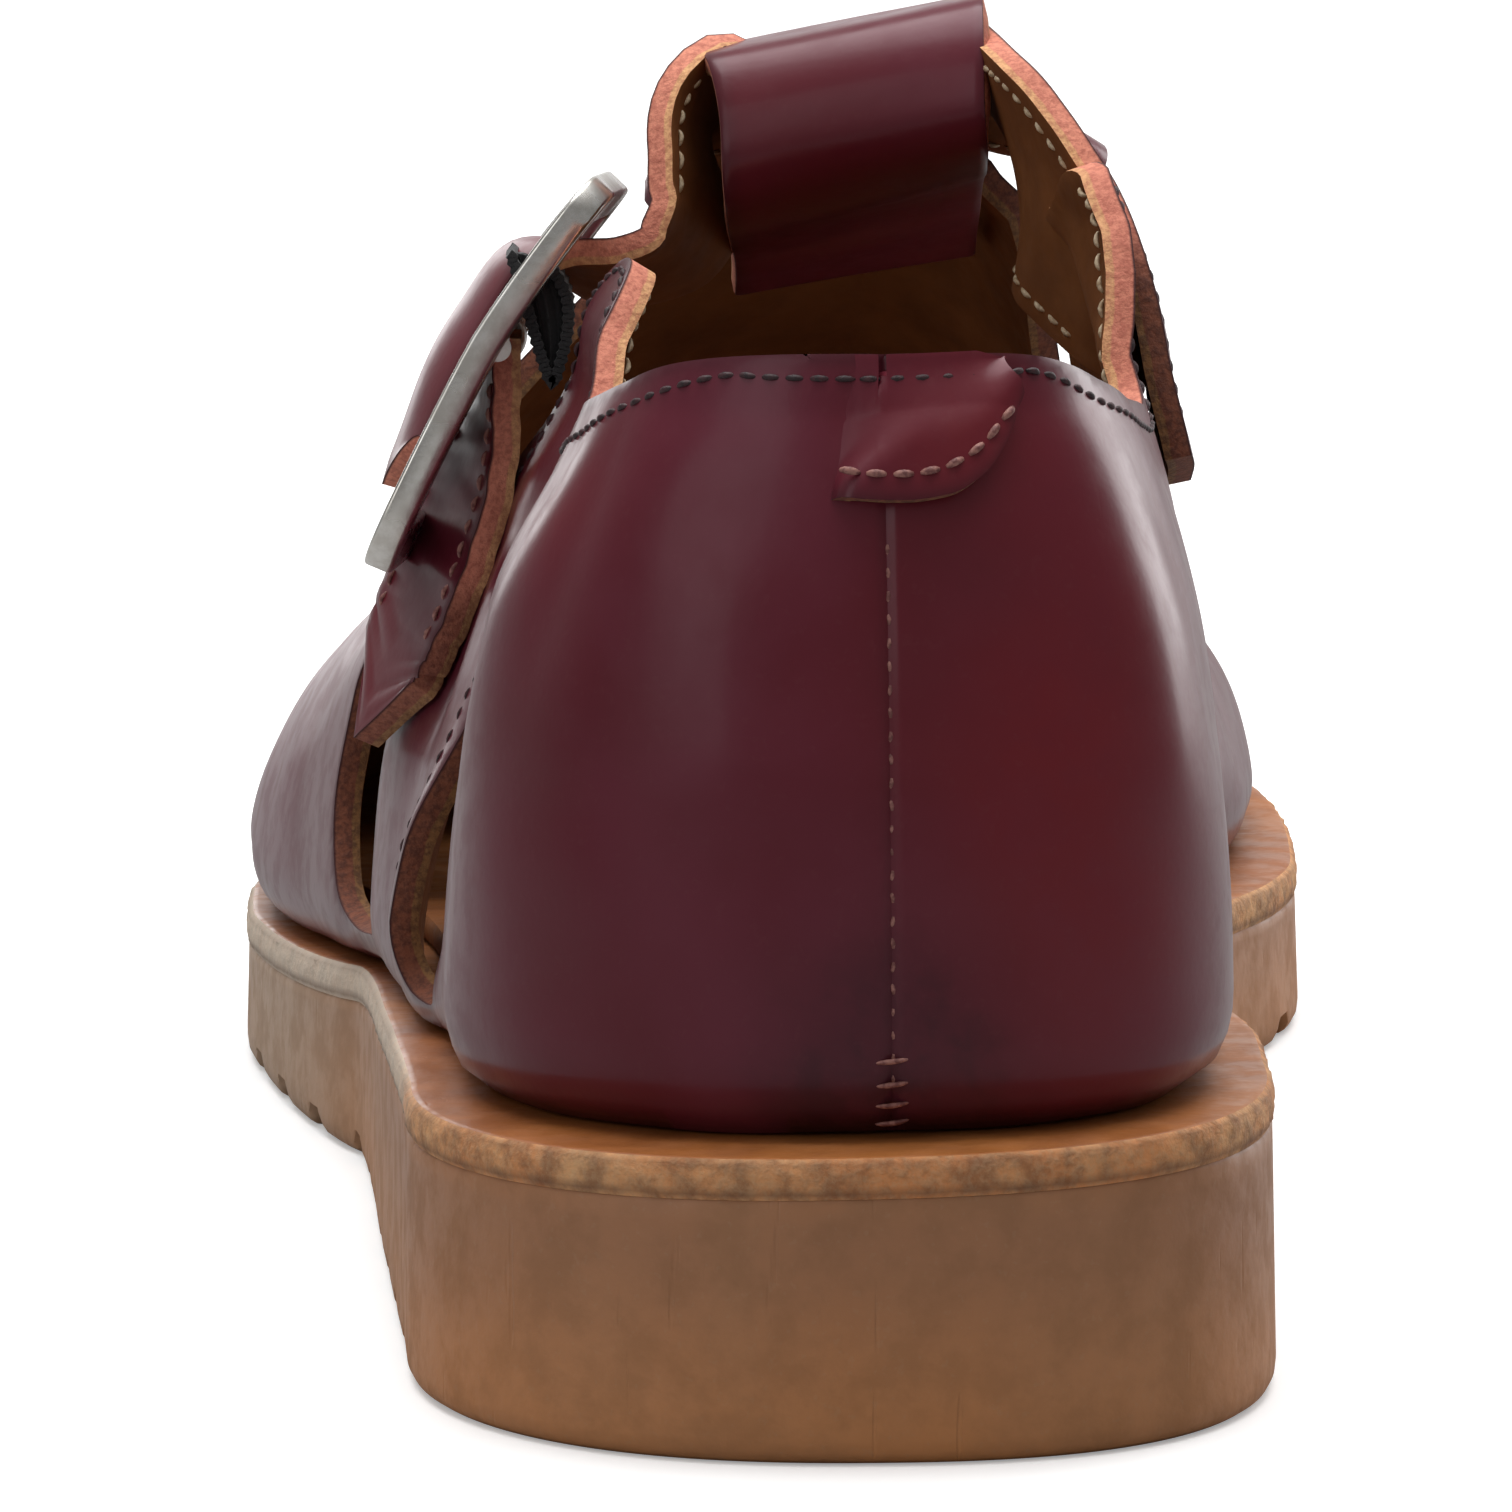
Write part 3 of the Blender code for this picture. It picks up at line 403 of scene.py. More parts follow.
# %% Materials
def finish(name, roughness=0.5, metallic=0.0, **constants):
    """A new material: its tree, its shader and the Object coordinates."""
    m = bpy.data.materials.new(name)
    m.use_nodes = True
    tree = m.node_tree
    shader = tree.nodes["Principled BSDF"]
    shader.inputs["Roughness"].default_value = roughness
    shader.inputs["Metallic"].default_value = metallic
    for key, value in constants.items():
        shader.inputs[key.replace("_", " ")].default_value = value
    where = tree.nodes.new("ShaderNodeTexCoord").outputs["Object"]
    return m, tree, shader, where


def bumped(tree, shader, height, strength, distance):
    made = node(tree, "ShaderNodeBump", {"Height": height, "Strength": strength, "Distance": distance * MM})
    tree.links.new(made.outputs[0], shader.inputs["Normal"])


def use(tree, group, **inputs):
    made = tree.nodes.new("ShaderNodeGroup")
    made.node_tree = group
    for key, value in inputs.items():
        socket = made.inputs[key.replace("_", " ")]
        if isinstance(value, bpy.types.NodeSocket):
            tree.links.new(value, socket)
        else:
            socket.default_value = value
    return made.outputs


def wear_and_highlight_masks(tree):
    """The painted masks: dark smudges, rubbed red, and burnish near a cut edge; on the midsole's edge the second is a
    painted highlight.
    """
    painted = node(tree, "ShaderNodeAttribute", attribute_name="wear_and_highlight").outputs["Color"]
    return node(tree, "ShaderNodeSeparateColor", {0: painted}).outputs


def veiled(tree, colour, *veils):
    """A colour under veils of (mask, strength, tone), the lowest first."""
    for mask, strength, tone in veils:
        colour = blend(tree, maths(tree, "MULTIPLY", mask, strength), colour, tone)
    return colour


def polished(name, deep, red, mauve, dirt, roughness):
    """Waxed, polished leather: cloudy tone, rubbed red, dark smudges and a burnished rim."""
    m, tree, shader, where = finish(name, roughness, Coat_Weight=0.10, Coat_Roughness=0.14, Specular_IOR_Level=0.28,
                                    Specular_Tint=(1.0, 0.80, 0.86, 1.0))
    patina = use(tree, PATINA, Vector=where, Scale=26.0)
    grain = use(tree, GRAIN, Vector=where, Scratches=0.2)
    dark, warm, edge = list(wear_and_highlight_masks(tree))[:3]
    colour = veiled(tree, blend(tree, patina["Cloud"], deep, mauve),
                    (warm, ramp(tree, patina["Mottle"], 0, 1, 0.75, 1.0), red), (patina["Mottle"], 0.10, deep),
                    (dark, ramp(tree, patina["Mottle"], 0, 1, 0.45, 0.68), dirt), (edge, 0.5, (0.020, 0.006, 0.008)),
                    (patina["Speck"], 0.05, (0.20, 0.07, 0.07)))
    tree.links.new(colour, shader.inputs["Base Color"])
    rough = ramp(tree, grain["Rubbed"], 0, 1, roughness - 0.02, roughness + 0.05)
    tree.links.new(maths(tree, "ADD", rough, maths(tree, "MULTIPLY", dark, 0.08)), shader.inputs["Roughness"])
    bumped(tree, shader, grain["Height"], 0.16, 0.10)
    return m


def raw_edge(name, outer, inner, dark, stain):
    """A cut edge: fresh salmon leather over tan lining, or the same in brown where the mask says so: brown stain on
    most edges, painted shade on the chape's pointed end.
    """
    m, tree, shader, where = finish(name, 0.86)
    depth = node(tree, "ShaderNodeAttribute", attribute_name="depth").outputs["Fac"]
    stain_and_shade = node(tree, "ShaderNodeAttribute", attribute_name="stain_and_shade").outputs["Fac"]
    cut = use(tree, EDGE, Vector=where, Depth=depth)
    patina = use(tree, PATINA, Vector=where, Scale=60.0)
    colour = veiled(tree, blend(tree, cut["Layer"], outer, inner),
                    (cut["Fibre"], 0.55, dark), (patina["Cloud"], 0.30, dark))
    brown = veiled(tree, blend(tree, cut["Layer"], stain, (0.26, 0.125, 0.045)),
                   (cut["Fibre"], 0.6, (0.045, 0.014, 0.012)))
    colour = blend(tree, stain_and_shade, colour, brown)
    rim = ramp(tree, depth, 0.02, 0.12, 1.0, 0.0)
    colour = blend(tree, rim, colour, (0.05, 0.012, 0.013))
    tree.links.new(colour, shader.inputs["Base Color"])
    bumped(tree, shader, cut["Height"], 0.8, 0.35)
    return m


def soft_leather(name, base, dark, light, roughness, stain=None, shine=0.5):
    """Matt vegetable-tanned leather, stained where the smudge mask says so."""
    m, tree, shader, where = finish(name, roughness, Specular_IOR_Level=shine)
    patina = use(tree, PATINA, Vector=where, Scale=22.0)
    grain = use(tree, GRAIN, Vector=where, Pore_size=1100.0, Scratches=0.25)
    colour = veiled(tree, blend(tree, patina["Cloud"], base, light), (patina["Mottle"], 0.35, dark))
    if stain:
        colour = blend(tree, wear_and_highlight_masks(tree)[0], colour, stain)
    tree.links.new(colour, shader.inputs["Base Color"])
    tree.links.new(ramp(tree, grain["Rubbed"], 0, 1, roughness - 0.08, roughness + 0.1), shader.inputs["Roughness"])
    bumped(tree, shader, grain["Height"], 0.4, 0.14)
    return m


BURGUNDY = polished("burgundy_polished_leather", (0.100, 0.0095, 0.017), (0.165, 0.012, 0.017),
                    (0.125, 0.018, 0.033), (0.022, 0.008, 0.012), 0.31)
CUT_EDGE = raw_edge("raw_leather_edge", (0.78, 0.29, 0.19), (0.84, 0.47, 0.22), (0.34, 0.075, 0.05),
                    (0.22, 0.070, 0.036))
# The lining's tan is darker than the midsole's: partly its own colour, partly painted shade for the inside of the
# shoe.
LINING = soft_leather("tan_lining_leather", (0.175, 0.060, 0.018), (0.075, 0.022, 0.008), (0.25, 0.095, 0.030),
                      0.75, None, 0.12)
TAN_TOP = soft_leather("waxed_midsole_leather", (0.36, 0.115, 0.030), (0.15, 0.040, 0.014), (0.46, 0.165, 0.045),
                       0.42, (0.06, 0.02, 0.012))


def layered_edge():
    """The midsole's sanded edge: pale fibres with brown stain, and a painted highlight on the outer side."""
    m, tree, shader, where = finish("sanded_midsole_edge", 0.8)
    cut = use(tree, EDGE, Vector=where, Depth=0.2)
    patina = use(tree, PATINA, Vector=where, Scale=70.0)
    dark, pale, _ = list(wear_and_highlight_masks(tree))[:3]
    # The second mask here is a painted highlight: the outer side of the edge is painted paler.
    colour = veiled(tree, blend(tree, patina["Cloud"], (0.68, 0.27, 0.095), (0.72, 0.38, 0.17)),
                    (patina["Mottle"], 0.65, (0.17, 0.065, 0.028)), (cut["Fibre"], 0.30, (0.55, 0.38, 0.22)),
                    (pale, 0.8, (0.66, 0.58, 0.48)), (dark, 1.0, (0.10, 0.035, 0.018)))
    tree.links.new(colour, shader.inputs["Base Color"])
    bumped(tree, shader, cut["Height"], 0.8, 0.4)
    return m


def crepe_rubber():
    """Brown rubber: honey low down, darker above, scuffed and mottled, with a painted highlight along the outer side.
    """
    m, tree, shader, where = finish("brown_sole_rubber", 0.6)
    patina = use(tree, PATINA, Vector=where, Scale=34.0)
    grain = use(tree, GRAIN, Vector=where, Pore_size=700.0, Scratches=0.8)
    across, _, up = node(tree, "ShaderNodeSeparateXYZ", {0: where}).outputs
    low = ramp(tree, up, 0.0, 0.019, 1.0, 0.0)
    # The outer side of the forefoot is painted paler: a painted highlight for the glare on that flank.
    outer = ramp(tree, across, -0.055, -0.030, 0.6, 0.0)
    colour = veiled(tree, blend(tree, low, (0.365, 0.158, 0.070), (0.58, 0.235, 0.078)),
                    (patina["Cloud"], 0.5, (0.43, 0.205, 0.095)), (outer, 1.0, (0.46, 0.39, 0.30)),
                    (patina["Mottle"], 0.22, (0.15, 0.085, 0.045)), (patina["Speck"], 0.10, (0.42, 0.31, 0.20)))
    tree.links.new(colour, shader.inputs["Base Color"])
    tree.links.new(ramp(tree, patina["Mottle"], 0, 1, 0.48, 0.68), shader.inputs["Roughness"])
    bumped(tree, shader, grain["Height"], 0.5, 0.25)
    return m


def nickel():
    """Brushed nickel with a little tarnish."""
    m, tree, shader, where = finish("brushed_nickel", 0.24, 1.0)
    patina = use(tree, PATINA, Vector=where, Scale=90.0)
    brushed = node(tree, "ShaderNodeMapping", {"Vector": where, "Scale": (2400, 60, 2400)}).outputs[0]
    lines = noise(tree, brushed, 1.0, 2.0, 0.6)
    colour = blend(tree, maths(tree, "MULTIPLY", patina["Mottle"], 0.5), (0.80, 0.78, 0.74), (0.50, 0.46, 0.40))
    tree.links.new(colour, shader.inputs["Base Color"])
    tree.links.new(ramp(tree, patina["Cloud"], 0, 1, 0.18, 0.34), shader.inputs["Roughness"])
    bumped(tree, shader, lines, 0.12, 0.05)
    return m


def elastic():
    """Black woven elastic: ribs across, threads along."""
    m, tree, shader, where = finish("black_woven_elastic", 0.85, Sheen_Weight=0.3)
    ribs = node(tree, "ShaderNodeTexWave", {"Vector": where, "Scale": 330.0, "Distortion": 0.3},
                bands_direction="Y").outputs["Fac"]
    fuzz = noise(tree, where, 2500.0, 2.0)
    colour = blend(tree, ribs, (0.006, 0.006, 0.007), (0.035, 0.034, 0.036))
    tree.links.new(blend(tree, maths(tree, "MULTIPLY", fuzz, 0.3), colour, (0.05, 0.048, 0.05)),
                   shader.inputs["Base Color"])
    bumped(tree, shader, maths(tree, "ADD", ribs, maths(tree, "MULTIPLY", fuzz, 0.4)), 0.8, 0.3)
    return m


def thread(name, colour, dark):
    """Waxed thread: two plies twisted together."""
    m, tree, shader, where = finish(name, 0.6)
    ply = noise(tree, where, 1800.0, 2.0)
    tree.links.new(blend(tree, ramp(tree, ply, 0.35, 0.65), colour, dark), shader.inputs["Base Color"])
    bumped(tree, shader, ply, 0.5, 0.15)
    return m


MIDSOLE_EDGE, RUBBER, NICKEL, ELASTIC_WEB = layered_edge(), crepe_rubber(), nickel(), elastic()
DARK_THREAD = thread("dark_waxed_thread", (0.050, 0.012, 0.016), (0.018, 0.006, 0.008))
PINK_THREAD = thread("faded_burgundy_thread", (0.36, 0.16, 0.13), (0.16, 0.05, 0.045))
CREAM_THREAD = thread("cream_lining_thread", (0.62, 0.50, 0.34), (0.40, 0.28, 0.16))
print("materials:", len([m for m in bpy.data.materials if m.users or m.use_nodes]))

# %% [markdown]
# ## Modelling helpers
# Each leather piece starts as a flat grid, as it is cut on the bench, and is then laid on the last or bent along
# its path. Solidify gives it its thickness, with its own finish for the cut edge and the flesh side, and a small
# bevel rounds the edge. After Solidify the first half of the vertices is the outer face, which is how the cut
# edge knows its depth.

# %% Select, weld, turn, thicken, bevel
def metres(points):
    return (np.asarray(points, float) - CENTRE) * MM


def only(obj):
    bpy.ops.object.select_all(action="DESELECT")
    obj.select_set(True)
    bpy.context.view_layer.objects.active = obj
    return obj


def in_edit(obj, *steps):
    """Run edit-mode operators on the whole of one object."""
    only(obj)
    bpy.ops.object.mode_set(mode="EDIT")
    bpy.ops.mesh.select_all(action="SELECT")
    for step, options in steps:
        step(**options)
    bpy.ops.object.mode_set(mode="OBJECT")
    return obj


def weld(obj):
    """Merge vertices that lie on each other."""
    return in_edit(obj, (bpy.ops.mesh.remove_doubles, {"threshold": 0.01 * MM}))


def outwards(obj):
    return in_edit(obj, (bpy.ops.mesh.normals_make_consistent, {"inside": False}))


def flipped(obj):
    return in_edit(obj, (bpy.ops.mesh.flip_normals, {}))


def joined(obj, extra):
    """One piece made of two."""
    only(extra)
    obj.select_set(True)
    bpy.context.view_layer.objects.active = obj
    bpy.ops.object.join()
    return obj


def laid(name, points, finishes):
    """A flat grid whose vertices are laid on rows and columns of points."""
    rows, columns = points.shape[:2]
    bpy.ops.object.select_all(action="DESELECT")
    bpy.ops.mesh.primitive_grid_add(x_subdivisions=columns - 1, y_subdivisions=rows - 1, size=1)
    obj = bpy.context.object
    obj.name = obj.data.name = name
    obj.data.vertices.foreach_set("co", metres(points).reshape(-1))
    obj.data.update()
    for m in finishes:
        obj.data.materials.append(m)
    return obj


def choose(obj, kind, mask):
    """Enter edit mode with only the masked faces or vertices selected; kind is FACE or VERT."""
    only(obj)
    bpy.ops.object.mode_set(mode="EDIT")
    bpy.ops.mesh.select_mode(type=kind)
    bpy.ops.mesh.select_all(action="DESELECT")
    bpy.ops.object.mode_set(mode="OBJECT")
    chosen = obj.data.polygons if kind == "FACE" else obj.data.vertices
    chosen.foreach_set("select", mask)
    bpy.ops.object.mode_set(mode="EDIT")


def cut_away(obj, faces):
    """Delete the faces that a mask names."""
    choose(obj, "FACE", faces)
    bpy.ops.mesh.delete(type="FACE")
    bpy.ops.mesh.select_mode(type="VERT")
    bpy.ops.object.mode_set(mode="OBJECT")


def modifier(obj, kind, **values):
    only(obj)
    mod = obj.modifiers.new(kind.lower(), kind)
    for key, value in values.items():
        setattr(mod, key, value)
    bpy.ops.object.modifier_apply(modifier=mod.name)
    return obj


def thicken(obj, thickness, offset, edge=1, inner=2):
    """Solidify, with slots for the cut edge and the flesh side, and the depth across the edge kept."""
    count = len(obj.data.vertices)
    modifier(obj, "SOLIDIFY", thickness=thickness * MM, offset=offset, material_offset_rim=edge,
             material_offset=inner)
    depth = obj.data.attributes.new("depth", "FLOAT", "POINT")
    depth.data.foreach_set("value", np.r_[np.zeros(count), np.ones(len(obj.data.vertices) - count)])
    return obj


def soften(obj, width, segments, angle):
    """Round the sharp edges, as a rubbed or polished edge is."""
    return modifier(obj, "BEVEL", width=width * MM, segments=segments, limit_method="ANGLE",
                    angle_limit=math.radians(angle), harden_normals=False)


def smoothed(obj, angle):
    only(obj)
    bpy.ops.object.shade_smooth_by_angle(angle=math.radians(angle))
    return obj


def dress(obj, *nodes, slot=None):
    """The piece rides with the sandal, and the solids that it stands for are hidden."""
    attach(obj, "root")
    if nodes:
        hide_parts(*nodes)
    print(obj.name, len(obj.data.polygons), "faces")
    return obj


def paint(obj, masks):
    """Keep up to three masks, one row per vertex, as the colour attribute the finishes read."""
    layer = obj.data.attributes.new("wear_and_highlight", "FLOAT_COLOR", "POINT")
    layer.data.foreach_set("color", np.c_[np.clip(masks, 0, 1), np.ones(len(masks))].astype(np.float32).reshape(-1))


def stain_and_shade_edge(obj, mask):
    """How far the cut edge is coloured brown, one value per vertex: brown stain on most edges, painted shade on the
    chape's pointed end.
    """
    obj.data.attributes.new("stain_and_shade", "FLOAT", "POINT").data.foreach_set("value", np.asarray(mask, np.float32))


def positions(obj):
    """Vertex positions back in bench millimetres."""
    flat = np.empty(len(obj.data.vertices) * 3)
    obj.data.vertices.foreach_get("co", flat)
    return flat.reshape(-1, 3) / MM + CENTRE


# %% [markdown]
# ## The upper
# The upper is one grid wrapped round the whole last, from the toe along the outer side, round the heel and back
# along the inner side. The openings are cut by leaving faces out, and the vertices along each cut are slid over
# the last until they lie exactly on the drawn line, so the cut is as smooth as a knife makes it.
# It could also be sculpted, or draped as cloth over the last. The grid was chosen because it lands where its solid
# is, and because each cut can be moved by changing one number of a table.

# %% Wrap the grid
COLUMNS, ROWS = 225, 84
spread = (np.arange(COLUMNS + 1) / COLUMNS)**1.3
SIGNED, SHARE = np.meshgrid(np.r_[-spread[:0:-1], spread], (np.arange(ROWS + 1) / ROWS)**1.12)


def over_last(signed, t):
    """Points and outward directions for signed u: below 0 on the outer side."""
    place, out = np.empty((*signed.shape, 3)), np.empty((*signed.shape, 3))
    for side, here in ((OUTER, signed < 0), (INNER, signed >= 0)):
        u = np.abs(signed[here])
        place[here] = last(u, side, t[here])
        out[here] = outward(np.clip(u, 5e-4, 0.9995), side, t[here])
    return place, out


def in_polygon(a, b, polygon):
    inside = np.zeros(a.shape, bool)
    for (a0, b0), (a1, b1) in zip(polygon, np.roll(polygon, -1, axis=0)):
        if b0 != b1:
            inside ^= ((b0 > b) != (b1 > b)) & (a < (a1 - a0) * (b - b0) / (b1 - b0) + a0)
    return inside


def above(line):
    pts = curve_through([(a, b, 0) for a, b in line], 500)[:, :2]
    return np.vstack([pts, (line[-1][0], 135), (line[0][0], 135)])


SIDE_VIEW, PLAN = (1, 2), (0, 1)
VAMP_LOW = 36  # the slots cut only what is higher than this
OPENINGS = [  # outline, view that it is drawn in, range of x that it cuts
    (above(COLLAR[OUTER]), SIDE_VIEW, (-75, 18)), (above(COLLAR[INNER]), SIDE_VIEW, (18, 75)),
    (closed(SLIT, 200), SIDE_VIEW, (-60, -10)), (closed(SLIT, 200), SIDE_VIEW, (12, 60))]
OPENINGS += [(closed(slot, 200), PLAN, None) for slot in SLOTS]

# %% Cut the openings and slide the vertices onto the lines
grid_place, _ = over_last(SIGNED, SHARE)
middle = (grid_place[:-1, :-1] + grid_place[1:, :-1] + grid_place[:-1, 1:] + grid_place[1:, 1:]) / 4
gone = np.full(middle.shape[:2], -1)
for number, (polygon, (a, b), reach) in enumerate(OPENINGS):
    hit = in_polygon(middle[..., a], middle[..., b], polygon)
    if reach:
        hit &= (middle[..., 0] >= reach[0]) & (middle[..., 0] < reach[1])
    else:
        hit &= middle[..., 2] > VAMP_LOW
    gone[hit & (gone < 0)] = number


def touched(mask):
    """Vertices that belong to any face of the mask."""
    out = np.zeros((mask.shape[0] + 1, mask.shape[1] + 1), bool)
    for i, j in ((0, 0), (1, 0), (0, 1), (1, 1)):
        out[i:i + mask.shape[0], j:j + mask.shape[1]] |= mask
    return out


kept = touched(gone < 0)
edge = np.zeros_like(kept)
for number, (polygon, (a, b), _) in enumerate(OPENINGS):
    here = kept & touched(gone == number) & ~edge
    edge |= here
    path = np.vstack([polygon, polygon[:1]])
    for side, chosen in ((OUTER, here & (SIGNED < 0)), (INNER, here & (SIGNED >= 0))):
        if not chosen.any():
            continue
        points = grid_place[chosen][:, (a, b)]
        p, q = path[:-1], path[1:]
        share = np.clip(((points[:, None] - p) * (q - p)).sum(2) / np.maximum(((q - p)**2).sum(1), 1e-9), 0, 1)
        foot = p + (q - p) * share[..., None]
        pick = ((points[:, None] - foot)**2).sum(2).argmin(1)
        target = foot[np.arange(len(points)), pick]
        u, t = land(side, (a, b), target, (np.abs(SIGNED[chosen]), SHARE[chosen]))
        SIGNED[chosen], SHARE[chosen] = u * side, t
near = edge.copy()
onward, backward = slice(1, None), slice(None, -1)
for _ in range(3):
    for to, source in ((onward, backward), (backward, onward)):
        near[to] |= near[source]
    for to, source in ((onward, backward), (backward, onward)):
        near[:, to] |= near[:, source]
near &= kept & ~edge & ~touched(gone >= 0)
near[0] = near[-1] = False
near[:, (0, COLUMNS, -1)] = False
for _ in range(6):
    for field in (SIGNED, SHARE):
        mean = (np.roll(field, 1, 0) + np.roll(field, -1, 0) + np.roll(field, 1, 1) + np.roll(field, -1, 1)) / 4
        field[near] = mean[near]
print("openings:", len(OPENINGS), "with", int(edge.sum()), "vertices along the cuts")

# %% [markdown]
# ## Creases and seams in the leather
# Worn leather keeps soft folds where the foot bends it. They could be a bump in the finish, but a bump leaves the
# outline straight, and these folds show against the light, so they move the vertices. Each fold is drawn
# as a short line on the last, with its width and depth. The back seam is a fine groove with a low ridge on each
# side. The hidden front keeps only a few plain folds.

# %% Folds of the upper
FOLDS = [  # signed u and height of points along the fold, width, depth (below 0 stands out)
    ([(-0.090, 84), (-0.096, 74), (-0.104, 62)], 3.6, 0.55), ([(-0.072, 84), (-0.076, 72), (-0.080, 58)], 4.5, -0.35),
    ([(-0.135, 80), (-0.150, 66), (-0.165, 54)], 4.0, 0.45), ([(0.100, 82), (0.112, 68), (0.118, 54)], 4.5, 0.40),
    ([(0.150, 78), (0.160, 62), (0.165, 48)], 4.0, -0.40), ([(0.066, 80), (0.072, 66), (0.076, 50)], 5.0, -0.30),
    ([(-0.245, 80), (-0.262, 64), (-0.275, 46)], 4.5, 0.50), ([(-0.500, 66), (-0.535, 52), (-0.555, 38)], 4.0, 0.50),
    ([(0.500, 66), (0.535, 52), (0.560, 38)], 4.0, 0.50), ([(-0.640, 56), (-0.655, 44), (-0.668, 30)], 3.5, 0.60),
    ([(-0.680, 52), (-0.695, 42), (-0.706, 28)], 3.5, 0.55), ([(0.640, 54), (0.655, 44), (0.668, 30)], 3.5, 0.60),
    ([(0.680, 50), (0.698, 40), (0.708, 28)], 3.5, 0.55), ([(-0.720, 46), (-0.735, 38), (-0.745, 28)], 4.0, -0.35)]
TOP_FOLDS = [  # (x, y) of points across the vamp, width, depth
    ([(-30, 221), (-14, 217), (4, 216), (22, 217), (38, 221)], 2.6, 0.55),
    ([(-34, 229), (-16, 225), (4, 224), (24, 225), (40, 230)], 2.8, 0.50),
    ([(-26, 225), (-8, 221), (8, 220), (24, 221)], 2.2, -0.30), ([(-20, 163), (4, 160), (26, 163)], 3.5, 0.35)]


def fold_depth(points, line, width, depth):
    """How far a fold pushes each point in, fading at both ends."""
    line = curve_through(line, 24)
    gap = np.linalg.norm(points[:, None] - line[None], axis=2)
    nearest = gap.argmin(axis=1)
    fade = np.sin(np.clip((nearest + 1.5) / 26, 0, 1) * math.pi)**0.6
    return depth * fade * np.exp(-(gap.min(axis=1) / width)**2)


def side_of(u):
    return OUTER if u < 0 else INNER


def at_signed(u, z, gap):
    """A point standing off the last at a signed u and a height."""
    return off_last(abs(u), side_of(u), z, gap)


place, out = over_last(SIGNED, SHARE)
flat = place.reshape(-1, 3)
push = np.zeros(len(flat))
for line, width, depth in FOLDS:
    push += fold_depth(flat, [at_signed(u, z, 0) for u, z in line], width, depth)
for line, width, depth in TOP_FOLDS:
    spots = []
    for x, y in line:
        side = side_of(x - RIDGE_X)
        u, t = land(side, PLAN, [(x, y)])
        spots.append(last(u, side, t)[0])
    push += fold_depth(flat, spots, width, depth)
push = push.reshape(SIGNED.shape)
seam = last(np.zeros(ROWS + 1), 1, SHARE[:, COLUMNS])
gap = np.linalg.norm(place - seam[:, None], axis=2)
push += (0.50 * np.exp(-(gap / 0.5)**2) - 0.06 * np.exp(-((gap - 2.2) / 1.4)**2)) * (place[..., 1] < 60)
ripple = (np.sin(place[..., 0] * 0.31 + place[..., 2] * 0.17) * np.sin(place[..., 1] * 0.23 + 1.0)
          + 0.6 * np.sin(place[..., 2] * 0.42 + place[..., 1] * 0.11 + 2.0) * np.sin(place[..., 0] * 0.19))
RIPPLE = 0.10  # height of the faint unevenness of hand-lasted leather
place = place - out * (push + RIPPLE * ripple)[..., None]

# %% Lips and flares: how the quarters stand away from the last
# The inner quarter leans to meet the strap's rear edge. The outer one stands out at the collar, is pressed in under
# the strap's end, and lifts a little below the chape. The slit's front edge stands proud and its rear edge is sunk.
x, y, z = (place[..., k] for k in range(3))
inner_side, outer_side = SIGNED > 0, SIGNED < 0
rear_x = np.interp(z, (81, 84, 88, 92, 96, 100, 104), (25.9, 26.4, 27.0, 27.2, 26.9, 26.0, 24.8))
target = rear_x - 0.34 * np.maximum(0, y - 78) - 0.6 * ease(z, 95, 100)
flare = ease(z, 81, 87) * ease(y, 53, 62) * inner_side
shift = flare * np.maximum(0, target - x) - inner_side * 1.6 * ease(z, 92, 96) * ease(y, 84, 92)
shift += outer_side * (2.4 * ease(z, 66, 82) * ease(y, 24, 40) * (1 - ease(y, 50, 62))
                       - 3.0 * ease(z, 79, 88) * ease(y, 57, 68) * (1 - ease(y, 84, 108))
                       + 1.0 * ease(z, 44, 54) * (1 - ease(z, 64, 72)) * ease(y, 86, 96))
place[..., 0] += shift
tall = ease(z, 26, 34) * (1 - ease(z, 40, 53))
front_lip, rear_lip = (np.interp(z, (28, 36, 44, 50), line) for line in ((78.4, 78.2, 77.0, 75.4),
                                                                       (69.8, 68.2, 69.0, 71.0)))
lip = (2.1 * np.exp(-((y - front_lip) / 7.0)**2) * (y > 73) - 0.9 * np.exp(-((y - rear_lip) / 5.0)**2) * (y <= 73))
place += out * (lip * tall * (outer_side + 0.5 * inner_side))[..., None]

# %% Lasting margin, thickness and edge
FEATHERED = (8.5, 6.0, 3.5, 1.4, 0.4)  # distances in from the feather line of the margin that is turned under
signed_row = SIGNED[0]
foot = np.empty((signed_row.size, 2))
away = np.empty_like(foot)
for side, here in ((OUTER, signed_row < 0), (INNER, signed_row >= 0)):
    foot[here], away[here] = feather(np.abs(signed_row[here]), side)
margin = []
for inset in FEATHERED:
    plan = foot - away * inset
    margin.append(np.c_[plan, seat(plan[:, 0], plan[:, 1])])
upper = laid("dressed_upper", np.concatenate([np.array(margin), place]), [BURGUNDY, CUT_EDGE, LINING])
cut_away(upper, np.r_[np.zeros((len(FEATHERED), gone.shape[1]), bool), gone >= 0].reshape(-1))
weld(upper)
spots = positions(upper)
faced = sum(p.normal.x * p.center.x + p.normal.y * p.center.y for p in upper.data.polygons if p.center.z > 0.03)
if faced < 0:
    flipped(upper)


def nearest_of(points, keys):
    """A search tree over some points, each with its own number."""
    search = kdtree.KDTree(len(points))
    for key, point in zip(keys, points):
        search.insert(point, int(key))
    search.balance()
    return search


cuts = nearest_of(place[edge], range(int(edge.sum())))
to_cut = np.array([cuts.find(p)[2] for p in spots])

